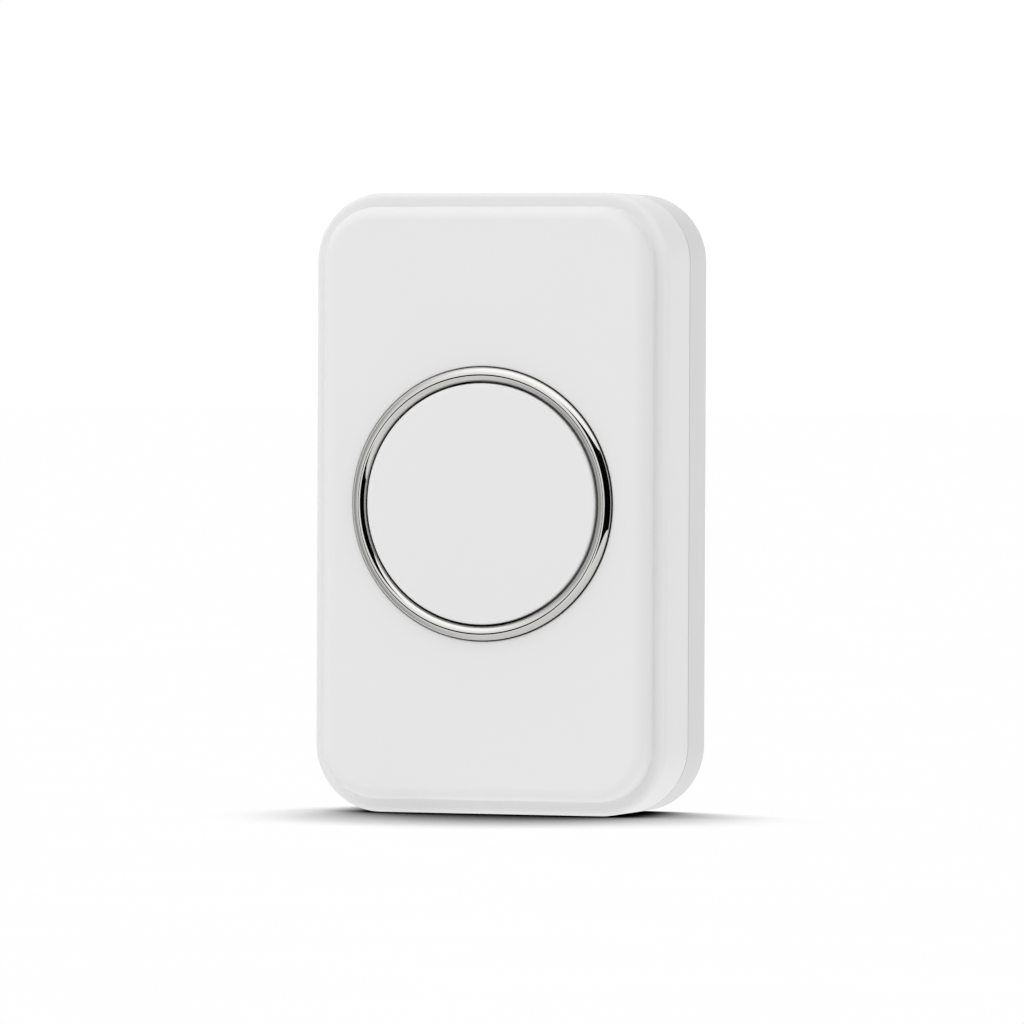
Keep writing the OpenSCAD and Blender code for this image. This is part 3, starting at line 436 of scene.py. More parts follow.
def in_rows(mesh, material, span_x, span_y, middle=(0, 0, 0), count_x=2, count_y=2):
    """Copies of a small mesh in rows about a middle."""
    counts = {"CountX": count_x, "CountY": count_y}
    spans = {"SpanX": span_x, "SpanY": span_y, "Middle": middle}
    return grown(mesh, ROWS, material, **spans, **counts)


def plain_mesh(shape, material):
    """A mesh of one material from an edited shape."""
    mesh = bpy.data.meshes.new("plain")
    shape.to_mesh(mesh)
    shape.free()
    mesh.materials.append(material)
    return mesh


def block(low, high, material, bevel=0.1 * MM):
    """A box between two corners, with softened edges unless the bevel is 0."""
    shape = bmesh.new()
    bmesh.ops.create_cube(shape, size=1)
    size = Vector(high) - Vector(low)
    middle = (Vector(high) + Vector(low)) / 2
    shape.transform(Matrix.Translation(middle) @ Matrix.Diagonal((*size, 1)))
    if bevel:
        bmesh.ops.bevel(shape, geom=shape.edges, offset=bevel, segments=2, profile=0.5, affect="EDGES")
    return plain_mesh(shape, material)


def rod(radius, low, high, material, at=(0, 0), steps=SMALL_STEPS):
    """A round rod between two heights."""
    return closed([turned([(0, low), (radius, low), (radius, high), (0, high)], material, steps, at)])


def slab(low, high, material, w, h, r):
    """A slab with round corners between two heights."""
    section = [(-SUPPORT, low), (0, low), (0, high), (-SUPPORT, high)]
    return closed([swept(section, material, w=w, h=h, r=r)], [low, high])


def wire(points, radius, material, sides=10):
    """Round wire through points."""
    return grown(line_mesh(points), WIRE, material, Radius=radius, Sides=sides)


def closed(meshes, fills=()):
    """Joins meshes into one, closes flat rims at the given heights and turns the faces outwards."""
    shape = bmesh.new()
    material = meshes[0].materials[0]
    for mesh in meshes:
        shape.from_mesh(mesh)
        bpy.data.meshes.remove(mesh)
    bmesh.ops.remove_doubles(shape, verts=shape.verts, dist=WELD)
    for level in fills:
        rim = [
            edge
            for edge in shape.edges
            if edge.is_boundary and all(abs(v.co.z - level) < WELD for v in edge.verts)
        ]
        bmesh.ops.triangle_fill(shape, use_beauty=True, edges=rim)
    bmesh.ops.recalc_face_normals(shape, faces=shape.faces)
    return plain_mesh(shape, material)


def carved(mesh, joined=(), cut=()):
    """A closed mesh with some closed meshes joined to it and then others cut from it."""
    body = placed("body", mesh)
    tools = []
    for kind, shapes in (("UNION", joined), ("DIFFERENCE", cut)):
        for shape in shapes:
            tool = placed("tool", shape)
            tools.append(tool)
            step = body.modifiers.new("carve", "BOOLEAN")
            step.operation = kind
            step.solver = "MANIFOLD"
            step.object = tool
    graph = bpy.context.evaluated_depsgraph_get()
    made = bpy.data.meshes.new_from_object(body.evaluated_get(graph))
    for item in [body, *tools]:
        used = item.data
        bpy.data.objects.remove(item)
        bpy.data.meshes.remove(used)
    return made


def piece(name, meshes, body, nodes=(), fills=()):
    """Joins meshes into one piece, stands it up in the frame and ties it to its body."""
    mesh = closed(meshes, fills)
    mesh.name = name
    mesh.transform(STAND)
    mesh.shade_smooth()
    mesh.set_sharp_from_angle(angle=SHARP_TURN)
    made = placed(name, mesh)
    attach(made, body)
    if nodes:
        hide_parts(*nodes)
    return made


# Sizes of the surface effects, as repeats in a metre
drift_scale = 45.0
cloud_scale = 260.0
stain_scale = 420.0
track_scale = 420.0
mask_scale = 900.0
cell_scale = 2400.0
foam_scale = 300.0
paper_scale = 30.0


# Effects that several finishes share
def new_group(name, inputs, outputs):
    """Starts a shader group with named inputs and outputs."""
    group = bpy.data.node_groups.new(name, "ShaderNodeTree")
    for label, kind in inputs.items():
        group.interface.new_socket(label, in_out="INPUT", socket_type="NodeSocket" + kind)
    for label, kind in outputs.items():
        group.interface.new_socket(label, in_out="OUTPUT", socket_type="NodeSocket" + kind)
    return group, group.nodes.new("NodeGroupInput").outputs, group.nodes.new("NodeGroupOutput").inputs


def noise(tree, place, scale, detail=2.0):
    """Soft noise from 0 to 1 over the surface."""
    return add(tree, "ShaderNodeTexNoise", {"Vector": place, "Scale": scale, "Detail": detail})


def spread(tree, value, middle, width):
    """A value from 0 to 1 spread evenly about a middle."""
    share = add(tree, "ShaderNodeMath", {0: value, 1: 0.5}, operation="SUBTRACT")
    return add(tree, "ShaderNodeMath", {0: share, 1: width, 2: middle}, operation="MULTIPLY_ADD")


def object_place(tree, stretch=(1, 1, 1)):
    """Object coordinates, stretched along the axes."""
    coordinates = tree.nodes.new("ShaderNodeTexCoord").outputs["Object"]
    return add(tree, "ShaderNodeMapping", {"Vector": coordinates, "Scale": stretch})


def tinted(tree, colour, other, share):
    """One colour shifted towards another by a share."""
    mix = tree.nodes.new("ShaderNodeMix")
    mix.data_type = "RGBA"
    tree.links.new(share, mix.inputs[0])
    for socket, value in ((mix.inputs[6], colour), (mix.inputs[7], other)):
        if isinstance(value, bpy.types.NodeSocket):
            tree.links.new(value, socket)
        else:
            socket.default_value = (*value, 1)
    return mix.outputs[2]


def moulded_skin_group():
    """Fine spark grain, slow shade drift and uneven gloss of a moulding."""
    group, given, out = new_group(
        "moulded_skin",
        {"Color": "Color", "Drift": "Color", "Grain": "Float", "Gloss": "Float", "Uneven": "Float"},
        {"Color": "Color", "Roughness": "Float", "Height": "Float"},
    )
    place = object_place(group)
    slow = noise(group, place, drift_scale)
    fine = noise(group, place, given["Grain"], 3.0)
    group.links.new(tinted(group, given["Color"], given["Drift"], slow), out["Color"])
    cloudy = noise(group, place, cloud_scale, 4.0)
    group.links.new(spread(group, cloudy, given["Gloss"], given["Uneven"]), out["Roughness"])
    group.links.new(fine, out["Height"])
    return group


def worked_metal_group():
    """Fine drawn lines and uneven shine of worked metal."""
    group, given, out = new_group(
        "worked_metal",
        {"Color": "Color", "Stain": "Color", "Lines": "Vector", "Gloss": "Float", "Uneven": "Float"},
        {"Color": "Color", "Roughness": "Float", "Height": "Float"},
    )
    coordinates = group.nodes.new("ShaderNodeTexCoord").outputs["Object"]
    along = add(group, "ShaderNodeMapping", {"Vector": coordinates, "Scale": given["Lines"]})
    lines = noise(group, along, 1.0, 4.0)
    cloudy = noise(group, coordinates, stain_scale, 3.0)
    group.links.new(tinted(group, given["Color"], given["Stain"], cloudy), out["Color"])
    group.links.new(spread(group, lines, given["Gloss"], given["Uneven"]), out["Roughness"])
    group.links.new(lines, out["Height"])
    return group


MOULDED_SKIN = moulded_skin_group()
WORKED_METAL = worked_metal_group()


def new_finish(name, metallic=0.0, **constants):
    """A material with its shader, and the shader's inputs."""
    material = bpy.data.materials.new(name)
    material.use_nodes = True
    shader = material.node_tree.nodes["Principled BSDF"]
    shader.inputs["Metallic"].default_value = metallic
    for label, value in constants.items():
        shader.inputs[label.replace("_", " ")].default_value = value
    return material, material.node_tree, shader.inputs


def raised(tree, shader, height, depth):
    """Links a fine relief to the shader."""
    relief = {"Height": height, "Strength": 1.0, "Distance": depth}
    tree.links.new(add(tree, "ShaderNodeBump", relief), shader["Normal"])


def with_effect(tree, shader, group, values, bump):
    """Places a shared effect in a material and links it to the shader."""
    effect = tree.nodes.new("ShaderNodeGroup")
    effect.node_tree = group
    for label, value in values.items():
        effect.inputs[label].default_value = value
    tree.links.new(effect.outputs["Color"], shader["Base Color"])
    tree.links.new(effect.outputs["Roughness"], shader["Roughness"])
    raised(tree, shader, effect.outputs["Height"], bump)


def moulding(name, colour, drift, gloss, uneven=0.08, grain=2600.0, bump=0.002 * MM, **constants):
    """A moulded plastic."""
    material, tree, shader = new_finish(name, **constants)
    values = {"Color": (*colour, 1), "Drift": (*drift, 1), "Grain": grain}
    values.update({"Gloss": gloss, "Uneven": uneven})
    with_effect(tree, shader, MOULDED_SKIN, values, bump)
    return material


def worked_metal(name, colour, stain, gloss, uneven=0.1, lines=(400, 400, 9000), bump=0.0008 * MM):
    """A plated, drawn or cut metal."""
    material, tree, shader = new_finish(name, metallic=1.0)
    values = {"Color": (*colour, 1), "Stain": (*stain, 1), "Lines": lines}
    values.update({"Gloss": gloss, "Uneven": uneven})
    with_effect(tree, shader, WORKED_METAL, values, bump)
    return material


def board_mask():
    """Green lacquer over copper tracks."""
    material, tree, shader = new_finish("board_mask", Coat_Weight=0.4, Coat_Roughness=0.15)
    place = object_place(tree)
    pattern = {"Vector": place, "Scale": track_scale}
    modes = {"feature": "DISTANCE_TO_EDGE", "distance": "MANHATTAN"}
    tracks = add(tree, "ShaderNodeTexVoronoi", pattern, **modes)
    limits = {"Value": tracks, "From Min": 0.05, "From Max": 0.09, "To Min": 1.0, "To Max": 0.0}
    on_track = add(tree, "ShaderNodeMapRange", limits)
    lacquer = tinted(tree, (0.012, 0.13, 0.045), (0.03, 0.24, 0.085), on_track)
    tree.links.new(lacquer, shader["Base Color"])
    dull = noise(tree, place, mask_scale)
    tree.links.new(spread(tree, dull, 0.32, 0.12), shader["Roughness"])
    raised(tree, shader, on_track, 0.01 * MM)
    return material


def foam():
    """Closed-cell foam, pitted all over."""
    material, tree, shader = new_finish("foam")
    place = object_place(tree)
    cells = add(tree, "ShaderNodeTexVoronoi", {"Vector": place, "Scale": cell_scale})
    shade = noise(tree, place, foam_scale)
    tree.links.new(tinted(tree, (0.05, 0.05, 0.055), (0.13, 0.13, 0.135), shade), shader["Base Color"])
    tree.links.new(spread(tree, cells, 0.85, 0.2), shader["Roughness"])
    raised(tree, shader, cells, 0.05 * MM)
    return material


DULL = {"Specular_IOR_Level": 0.3}
CASE_WHITE = moulding("case_white", (0.815, 0.812, 0.812), (0.83, 0.826, 0.826), 0.5, **DULL)
# The rear white is a darker copy of the case's white: painted shade on the rear shell's band of the
# side
REAR_WHITE_PAINTED_SHADE = moulding("rear_white_painted_shade", (0.69, 0.688, 0.69), (0.705, 0.703, 0.705), 0.45)
BUTTON_WHITE = moulding("button_white", (0.815, 0.813, 0.813), (0.826, 0.824, 0.824), 0.33)
PLATE_WHITE = moulding("plate_white", (0.74, 0.74, 0.735), (0.77, 0.77, 0.765), 0.55, bump=0.004 * MM)
CHROME = worked_metal("chrome", (0.65, 0.645, 0.63), (0.68, 0.675, 0.66), 0.045, 0.03, (300, 300, 300))
SEAL_GREY = moulding("seal_grey", (0.30, 0.30, 0.31), (0.36, 0.36, 0.37), 0.62)
FOAM = foam()
ZINC = worked_metal("zinc", (0.60, 0.61, 0.64), (0.55, 0.57, 0.60), 0.32)
GREY_MOULDING = moulding("grey_moulding", (0.28, 0.29, 0.31), (0.32, 0.33, 0.35), 0.5)
# Black moulding: the real black parts, and painted shade on the ring's sleeve
BLACK_MOULDING_AND_GAP_SHADE = moulding("black_moulding", (0.035, 0.035, 0.038), (0.05, 0.05, 0.055), 0.45)
NYLON = moulding("nylon", (0.78, 0.73, 0.62), (0.82, 0.78, 0.68), 0.42)
COPPER = worked_metal("copper_wire", (0.72, 0.34, 0.16), (0.60, 0.25, 0.11), 0.25, 0.12)
BRASS = worked_metal("brass", (0.78, 0.62, 0.34), (0.70, 0.58, 0.36), 0.28)
IRON = worked_metal("iron", (0.38, 0.38, 0.40), (0.30, 0.29, 0.29), 0.42, 0.2)
NICKEL = worked_metal("nickel", (0.66, 0.64, 0.60), (0.62, 0.61, 0.58), 0.2)
SPRING_WIRE = worked_metal("spring_wire", (0.62, 0.63, 0.66), (0.55, 0.56, 0.58), 0.22)
BOARD_MASK = board_mask()
EPOXY = moulding("epoxy", (0.02, 0.02, 0.021), (0.032, 0.032, 0.034), 0.55, grain=5200.0)
CAN = worked_metal("can_metal", (0.74, 0.75, 0.77), (0.68, 0.69, 0.71), 0.3, 0.14, (9000, 9000, 500))
LEAD_RED = moulding("lead_red", (0.45, 0.035, 0.03), (0.52, 0.05, 0.04), 0.38)


# Camera at the photograph's view
view_turn = math.radians(19.196)
view_rise = math.radians(0.854)
view_roll = math.radians(0.243)
view_distance = 1.2569
photo_side = 1024
focal_pixels = 9107
panel_pixel = (481.95, 504.03)
sensor = 36


def add_camera():
    """Stands the camera where the photograph was taken, with the panel's middle at its pixel."""
    data = bpy.data.cameras.new("camera")
    data.sensor_width = sensor
    data.lens = focal_pixels / photo_side * sensor
    camera = placed("camera", data)
    turn = Matrix.Rotation(view_turn, 3, "Z")
    back = turn @ Vector((0, -math.cos(view_rise), math.sin(view_rise)))
    right = turn @ Vector((1, 0, 0))
    up = back.cross(right)
    panel_middle = Vector((0, front_low.y, middle_h))
    pixel = view_distance / focal_pixels
    aim = panel_middle
    aim = aim + right * (photo_side / 2 - panel_pixel[0]) * pixel
    aim = aim - up * (photo_side / 2 - panel_pixel[1]) * pixel
    camera.location = panel_middle + back * view_distance
    camera.rotation_mode = "QUATERNION"
    level = (aim - camera.location).to_track_quat("-Z", "Y")
    camera.rotation_quaternion = level @ Quaternion((0, 0, 1), view_roll)
    bpy.context.scene.camera = camera


# Studio: white surround, pale table with a painted shadow, and two dark cards that only the chrome
# mirrors
floor_half = 12

# Painted shadow on the table near the push, drawn from how much sky each point sees: how far it leans
# to the front and reaches, the open share of the sky at which it is darkest and lightest, and how it
# fades between them
shade_lean = 1.2
shade_reach = 0.048
shade_dark = 0.3
shade_light = 0.82
shade_curve = 1.3

# Cards, placed about the push
card_radius = 0.55
card_start = math.radians(5)
card_end = math.radians(100)
card_low = -0.1
card_high = 0.36
small_card_r = 0.09
small_card_turn = math.radians(-19)
small_card_rise = math.radians(-9)

# Light of the surround on plastic and in the chrome, with its changes:
# the way along which it changes, where the change starts and ends, and from what to what
soft_light = 1.09
mirror_light = 1.05
SOFT_CHANGES = (
    ((-0.55, -0.23, 0.8), 0.53, 0.95, 1.0, 2.09),
    ((1, 0, 0), -0.97, -0.3, 0.3, 1.0),
    ((-0.4, 0.92, 0), -1.0, -0.66, 0.01, 1.0),
    ((-0.43, -0.54, -0.72), -1.0, -0.3, 0.3, 1.0),
    ((1, 0, 0), 0.5, 1.0, 1.0, 1.54),
)
MIRROR_CHANGES = (
    ((0, 0, 1), 0.05, 0.95, 1.0, 1.35),
    ((0, 0, 1), -0.7, 0.0, 0.8, 1.0),
    ((1, 0, 0), -0.97, -0.3, 0.4, 1.0),
)


def stage_sheet(name, points, faces, material):
    """A sheet of the studio, which isn't part of the push."""
    mesh = bpy.data.meshes.new(name)
    mesh.from_pydata(points, [], faces)
    mesh.materials.append(material)
    sheet = placed(name, mesh)
    return sheet


def floor_finish():
    """A white table that glows to light the push evenly, and shows the camera a painted shadow where
    the push stands.
    """
    material, tree, shader = new_finish("floor", Specular_IOR_Level=0.0, Roughness=1.0)
    shader["Base Color"].default_value = (0, 0, 0, 1)
    paper = noise(tree, object_place(tree), paper_scale)
    tree.links.new(tinted(tree, (1, 1, 1), (0.99, 0.99, 0.99), paper), shader["Emission Color"])
    # Painted shadow: the table's glow is darkened where little sky is open near the push
    lean_x = -math.sin(view_turn) * shade_lean
    lean_y = math.cos(view_turn) * shade_lean
    lean = add(tree, "ShaderNodeCombineXYZ", {"X": lean_x, "Y": lean_y, "Z": 1.0})
    way = add(tree, "ShaderNodeVectorMath", {0: lean}, operation="NORMALIZE")
    reach = {"Distance": shade_reach, "Normal": way}
    sky = add(tree, "ShaderNodeAmbientOcclusion", reach, samples=32)
    limits = {"Value": sky, "From Min": shade_dark, "From Max": shade_light}
    lit = add(tree, "ShaderNodeMapRange", limits)
    soft = add(tree, "ShaderNodeMath", {0: lit, 1: shade_curve}, operation="POWER")
    # Only the camera sees the painted shadow; all other rays see the even glow
    seen = tree.nodes.new("ShaderNodeLightPath").outputs["Is Camera Ray"]
    glow = add(tree, "ShaderNodeMix", {0: seen, 2: 1.0, 3: soft})
    tree.links.new(glow, shader["Emission Strength"])
    return material


def light_all_round(tree, way, strength, changes):
    """Strength of the surround, changed softly along ways through it."""
    for axis, start, end, low, high in changes:
        along = tree.nodes.new("ShaderNodeVectorMath")
        along.operation = "DOT_PRODUCT"
        tree.links.new(way, along.inputs[0])
        along.inputs[1].default_value = axis
        limits = {"Value": along.outputs["Value"], "From Min": start, "From Max": end}
        limits.update({"To Min": low, "To Max": high})
        part = add(tree, "ShaderNodeMapRange", limits, interpolation_type="SMOOTHSTEP")
        strength = add(tree, "ShaderNodeMath", {0: strength, 1: part}, operation="MULTIPLY")
    return strength


def surround():
    """White all round, with one pattern of light on plastic and another for the chrome to mirror."""
    world = bpy.data.worlds.new("surround")
    world.use_nodes = True
    tree = world.node_tree
    way = tree.nodes.new("ShaderNodeTexCoord").outputs["Generated"]
    lighting = light_all_round(tree, way, soft_light, SOFT_CHANGES)
    mirrored = light_all_round(tree, way, mirror_light, MIRROR_CHANGES)
    diffuse = tree.nodes.new("ShaderNodeLightPath").outputs["Is Diffuse Ray"]
    strength = add(tree, "ShaderNodeMix", {0: diffuse, 2: mirrored, 3: lighting})
    tree.links.new(strength, tree.nodes["Background"].inputs["Strength"])
    tree.nodes["Background"].inputs["Color"].default_value = (1, 1, 1, 1)
    return world


def bent_card(name, start, end, material):
    """An upright card bent round the push, from one turn to another."""
    points = []
    for i in range(CARD_STEPS + 1):
        turn = start + (end - start) * i / CARD_STEPS
        x = card_radius * math.sin(turn)
        y = -card_radius * math.cos(turn)
        points += [(x, y, card_low), (x, y, card_high)]
    faces = [(2 * i, 2 * i + 2, 2 * i + 3, 2 * i + 1) for i in range(CARD_STEPS)]
    return stage_sheet(name, points, faces, material)


def round_card(name, radius, material):
    """A round card before the push, at the bent card's distance."""
    across = Vector((math.cos(small_card_turn), math.sin(small_card_turn), 0))
    out = Vector((math.sin(small_card_turn), -math.cos(small_card_turn), math.tan(small_card_rise)))
    middle = Vector((0, front_low.y, middle_h)) + out * card_radius
    points = []
    for i in range(CARD_STEPS):
        angle = 2 * math.pi * i / CARD_STEPS
        way = across * math.cos(angle) + Vector((0, 0, math.sin(angle)))
        points.append(middle + way * radius)
    return stage_sheet(name, points, [range(CARD_STEPS)], material)


def add_studio():
    """Surround, table and cards."""
    scene = bpy.context.scene
    scene.view_settings.view_transform = "Standard"
    scene.world = surround()
    corners = [(-floor_half, -floor_half, 0), (floor_half, -floor_half, 0)]
    corners += [(floor_half, floor_half, 0), (-floor_half, floor_half, 0)]
    floor = stage_sheet("floor", corners, [(0, 1, 2, 3)], floor_finish())
    floor.visible_glossy = False
    dark = (0.001, 0.001, 0.001)
    drift = (0.002, 0.002, 0.002)
    black = moulding("black_card", dark, drift, 0.9, Specular_IOR_Level=0)
    side_card = bent_card("side_card", card_start, card_end, black)
    small_card = round_card("small_card", small_card_r, black)
    for card in (side_card, small_card):
        card.visible_diffuse = False
        card.visible_camera = False
        card.visible_shadow = False


# Case
def front_shell():
    """Front of the case: side, ledge and raised panel, with its wall, bosses and ribs inside."""
    inner = ledge_w + wall_t
    rabbet = wall_t - lip_t - lip_gap
    section = [(-ledge_w - panel_round - SUPPORT, panel_z)]
    section += arc(-ledge_w - panel_round, panel_z - panel_round, panel_round, 90, 0, PANEL_STEPS)
    section += arc(ledge_foot - ledge_w, ledge_z + ledge_foot, ledge_foot, 180, 270, SOFT_STEPS)
    section += arc(-ledge_round, ledge_z - ledge_round, ledge_round, 90, 0, LEDGE_STEPS)
    section += arc(-edge_round, seam_z + edge_round, edge_round, 0, -90, EDGE_STEPS)
    section += [(-rabbet, seam_z), (-rabbet, lip_z + lip_gap), (-wall_t, lip_z + lip_gap)]
    section += [(-wall_t, ledge_z - wall_t), (-inner, ledge_z - wall_t), (-inner, panel_in_z)]
    section += [(-inner - SUPPORT, panel_in_z)]
    groove_r = ring_r + ring_groove
    opening = [(groove_r + SUPPORT, panel_z)]
    opening += arc(groove_r + edge_round, panel_z - edge_round, edge_round, 90, 180, EDGE_STEPS)
    opening += [(groove_r, panel_z - ring_groove_d), (opening_r, panel_z - ring_groove_d)]
    opening += [(opening_r, panel_in_z), (opening_r + SUPPORT, panel_in_z)]
    shell = [swept(section, CASE_WHITE), turned(opening, CASE_WHITE, TURN_STEPS)]
    skin = closed(shell, [panel_z, panel_in_z])
    bore_r = screw_r + thread_gap
    bore_z = head_seat_z + screw_l + overlap
    boss = [(0, bore_z), (bore_r, bore_z), (bore_r, seam_z), (boss_out_r, seam_z)]
    boss += [(boss_out_r, panel_in_z + overlap), (0, panel_in_z + overlap)]
    bosses = in_rows(closed([turned(boss, CASE_WHITE)]), CASE_WHITE, 2 * screw_x, 2 * screw_y)
    meshes = [skin, bosses]
    wall_x = case_w / 2 - inner + overlap
    for side in (-1, 1):
        ends = sorted((side * rib_x, side * wall_x))
        low = (ends[0], -rib_w / 2, flange_z - press_travel)
        meshes.append(block(low, (ends[1], rib_w / 2, panel_in_z + overlap), CASE_WHITE))
    piece("front_shell_skin", meshes, "root", ["front_shell"])


def trim_ring():
    """Chromed bead with its sleeve, which is black as painted shade in the gap round the button."""
    bead_middle = ring_r - bead_w / 2
    bead_r = (bead_w * bead_w / 4 + bead_crown * bead_crown) / (2 * bead_crown)
    foot = math.degrees(math.asin((bead_r - bead_crown) / bead_r))
    sleeve_r = ring_in_r + sleeve_t
    section = arc(bead_middle, crest_z - bead_r, bead_r, 180 - foot, foot, BEAD_STEPS)
    section += [(ring_r, panel_z + bead_lip), (ring_r - bead_lip, panel_z)]
    section += [(ring_in_r + bead_lip, panel_z), (ring_in_r, panel_z + bead_lip)]
    bead = turned(section, CHROME, 2 * TURN_STEPS, closed=True)
    piece("chrome_bead", [bead], "root", ["trim_ring"])
    groove_z = panel_z - ring_groove_d
    section = [(ring_in_r, panel_z), (ring_in_r, sleeve_z), (sleeve_r, sleeve_z), (sleeve_r, groove_z)]
    section += [(ring_r + ring_groove, groove_z), (ring_r + ring_groove, groove_z + bead_lip)]
    section += [(sleeve_r, groove_z + bead_lip), (sleeve_r, panel_z)]
    # The sleeve's black is painted shade for the deep gap between the ring and the button
    sleeve = turned(section, BLACK_MOULDING_AND_GAP_SHADE, TURN_STEPS, closed=True)
    piece("ring_sleeve", [sleeve], "root", ["trim_ring"])


def button():
    """Round push button with its skirt, guide ears, plunger and spring pins."""
    section = [(0, face_z), (button_r - button_round - SUPPORT, face_z)]
    section += arc(button_r - button_round, face_z - button_round, button_round, 90, 0, BUTTON_STEPS)
    section += [(button_r, flange_top_z), (flange_r, flange_top_z), (flange_r, flange_z)]
    section += [(button_r - skirt_t, flange_z), (button_r - skirt_t, under_z), (0, under_z)]
    cap = closed([turned(section, BUTTON_WHITE, TURN_STEPS)])
    ears = []
    cuts = []
    ear_x = flange_r + ear_out
    slot_half = rib_w / 2 + rib_gap
    for side in (-1, 1):
        ends = sorted((side * (flange_r - flange_out / 2), side * ear_x))
        low = (ends[0], -ear_w / 2, flange_z)
        ears.append(block(low, (ends[1], ear_w / 2, flange_top_z), BUTTON_WHITE, 0))
        ends = sorted((side * (rib_x - rib_gap), side * (ear_x + overlap)))
        low = (ends[0], -slot_half, flange_z - overlap)
        cuts.append(block(low, (ends[1], slot_half, flange_top_z + overlap), BUTTON_WHITE, 0))
    low = (-lever_slot_x, -flange_r - overlap, flange_z - overlap)
    cuts.append(block(low, (lever_slot_x, 0, flange_z + press_travel), BUTTON_WHITE, 0))
    cap = carved(cap, ears, cuts)
    root_z = under_z + overlap
    section = arc(0, tip_z + plunger_r, plunger_r, -90, 0, LEDGE_STEPS)
    section += [(plunger_r, root_z), (0, root_z)]
    meshes = [cap, turned(section, BUTTON_WHITE, SMALL_STEPS, (0, plunger_y))]
    pin_z = under_z - spring_pin_l
    pin = [(0, pin_z), (spring_pin_r - edge_round, pin_z), (spring_pin_r, pin_z + edge_round)]
    pin += [(spring_pin_r, root_z), (0, root_z)]
    meshes += [turned(pin, BUTTON_WHITE, SMALL_STEPS, (side * spring_x, 0)) for side in (-1, 1)]
    piece("button_face", meshes, "button", ["button_cap"])


def rear_shell():
    """Back of the case: side, rounded back edge, plate recess, lip, bosses and posts."""
    rim = plate_inset - plate_gap
    section = [(-rim - SUPPORT, recess_z)]
    section += arc(-rim - edge_round, recess_z - edge_round, edge_round, 90, 0, RIM_STEPS)
    section += arc(edge_round - rim, edge_round, edge_round, 180, 270, RIM_STEPS)
    section += arc(-rear_round, rear_round, rear_round, 270, 360, REAR_STEPS)
    section += arc(-edge_round, rear_rim_z - edge_round, edge_round, 0, 90, EDGE_STEPS)
    section += [(-gasket_inset, rear_rim_z), (-gasket_inset, gasket_low_z)]
    section += [(-gasket_inset - gasket_w, gasket_low_z), (-gasket_inset - gasket_w, rear_rim_z)]
    section += [(lip_t - wall_t, rear_rim_z), (lip_t - wall_t, lip_z), (-wall_t, lip_z)]
    section += [(-wall_t, floor_z), (-wall_t - SUPPORT, floor_z)]
    shell = closed([swept(section, REAR_WHITE_PAINTED_SHADE)], [recess_z, floor_z])
    root_z = (recess_z + floor_z) / 2
    socket_z = plate_top_z + peg_l + seat_gap
    corners = [(x * screw_x, y * screw_y) for x in (-1, 1) for y in (-1, 1)]
    pegs = [(x * peg_x, y * peg_y) for x in (-1, 1) for y in (-1, 1)]
    feet = [(-base_screw_x, base_screw_y), (base_screw_x, base_screw_y), (0, tail_screw_y)]
    post_rows = (board_y + board_inset, board_end_y - board_inset)
    posts = [(x * board_post_x, y) for x in (-1, 1) for y in post_rows]
    joined = []
    cuts = []

    def join(radius, top, at):
        joined.append(rod(radius, root_z, top, REAR_WHITE_PAINTED_SHADE, at))

    def cut(radius, low, high, at):
        cuts.append(rod(radius, low, high, REAR_WHITE_PAINTED_SHADE, at))

    for at in corners:
        join(boss_out_r + head_r - screw_r, seam_z, at)
        cut(head_r + screw_gap, -overlap, head_seat_z, at)
        cut(screw_r + screw_gap, head_seat_z - overlap, seam_z + overlap, at)
    for at in pegs:
        join(peg_r + socket_t, socket_z + socket_t, at)
        cut(peg_r + peg_gap, recess_z - overlap, socket_z, at)
    small_bore = small_r + thread_gap
    for at in feet:
        join(small_r + boss_wall, base_z - seat_gap, at)
        cut(small_bore, base_z - small_l - seat_gap, base_z, at)
    for at in posts:
        join(board_post_r, board_z, at)
    for at in posts[1::2]:
        cut(small_bore, board_top_z - small_l - seat_gap, board_top_z, at)
    piece("rear_shell_skin", [carved(shell, joined, cuts)], "root", ["rear_shell"])


def seam_gasket():
    """Silicone cord in the seam."""
    middle = -gasket_inset - gasket_w / 2
    out = middle + gasket_w / 2 - edge_round
    inner = middle - gasket_w / 2 + edge_round
    top = seam_z - edge_round
    low = gasket_low_z + edge_round
    corners = ((out, top, 90), (out, low, 0), (inner, low, 270), (inner, top, 180))
    section = []
    for x, z, start in corners:
        section += arc(x, z, edge_round, start, start - 90, EDGE_STEPS)
    cord = swept(section, SEAL_GREY, closed=True)
    piece("seam_gasket", [cord], "root", ["case_gasket"])


# Screws
def screw(shank_r, shank_l, top_r, top_h):
    """A cross-head screw, its head's seat at height 0 and its shank upwards."""
    round_r = head_soft * top_h
    section = [(0, -top_h)]
    section += arc(top_r - round_r, round_r - top_h, round_r, 270, 360, SOFT_STEPS)
    section += [(top_r, 0), (shank_r, 0)]
    pitch = thread_pitch * shank_r
    turns = int((shank_l - 2 * pitch) / pitch)
    for i in range(1, turns + 1):
        section.append((shank_r, (i + thread_land) * pitch))
        section.append((thread_core * shank_r, (i + 0.5) * pitch))
        section.append((shank_r, (i + 1 - thread_land) * pitch))
    section += [(point_share * shank_r, shank_l), (0, shank_l)]
    body = closed([turned(section, ZINC, SCREW_STEPS)])
    slot = cross_half * shank_r
    floor = -cross_floor * top_h
    long = block((-shank_r, -slot, -2 * top_h), (shank_r, slot, floor), ZINC, 0)
    wide = block((-slot, -shank_r, -2 * top_h), (slot, shank_r, floor), ZINC, 0)
    return carved(body, (), [long, wide])


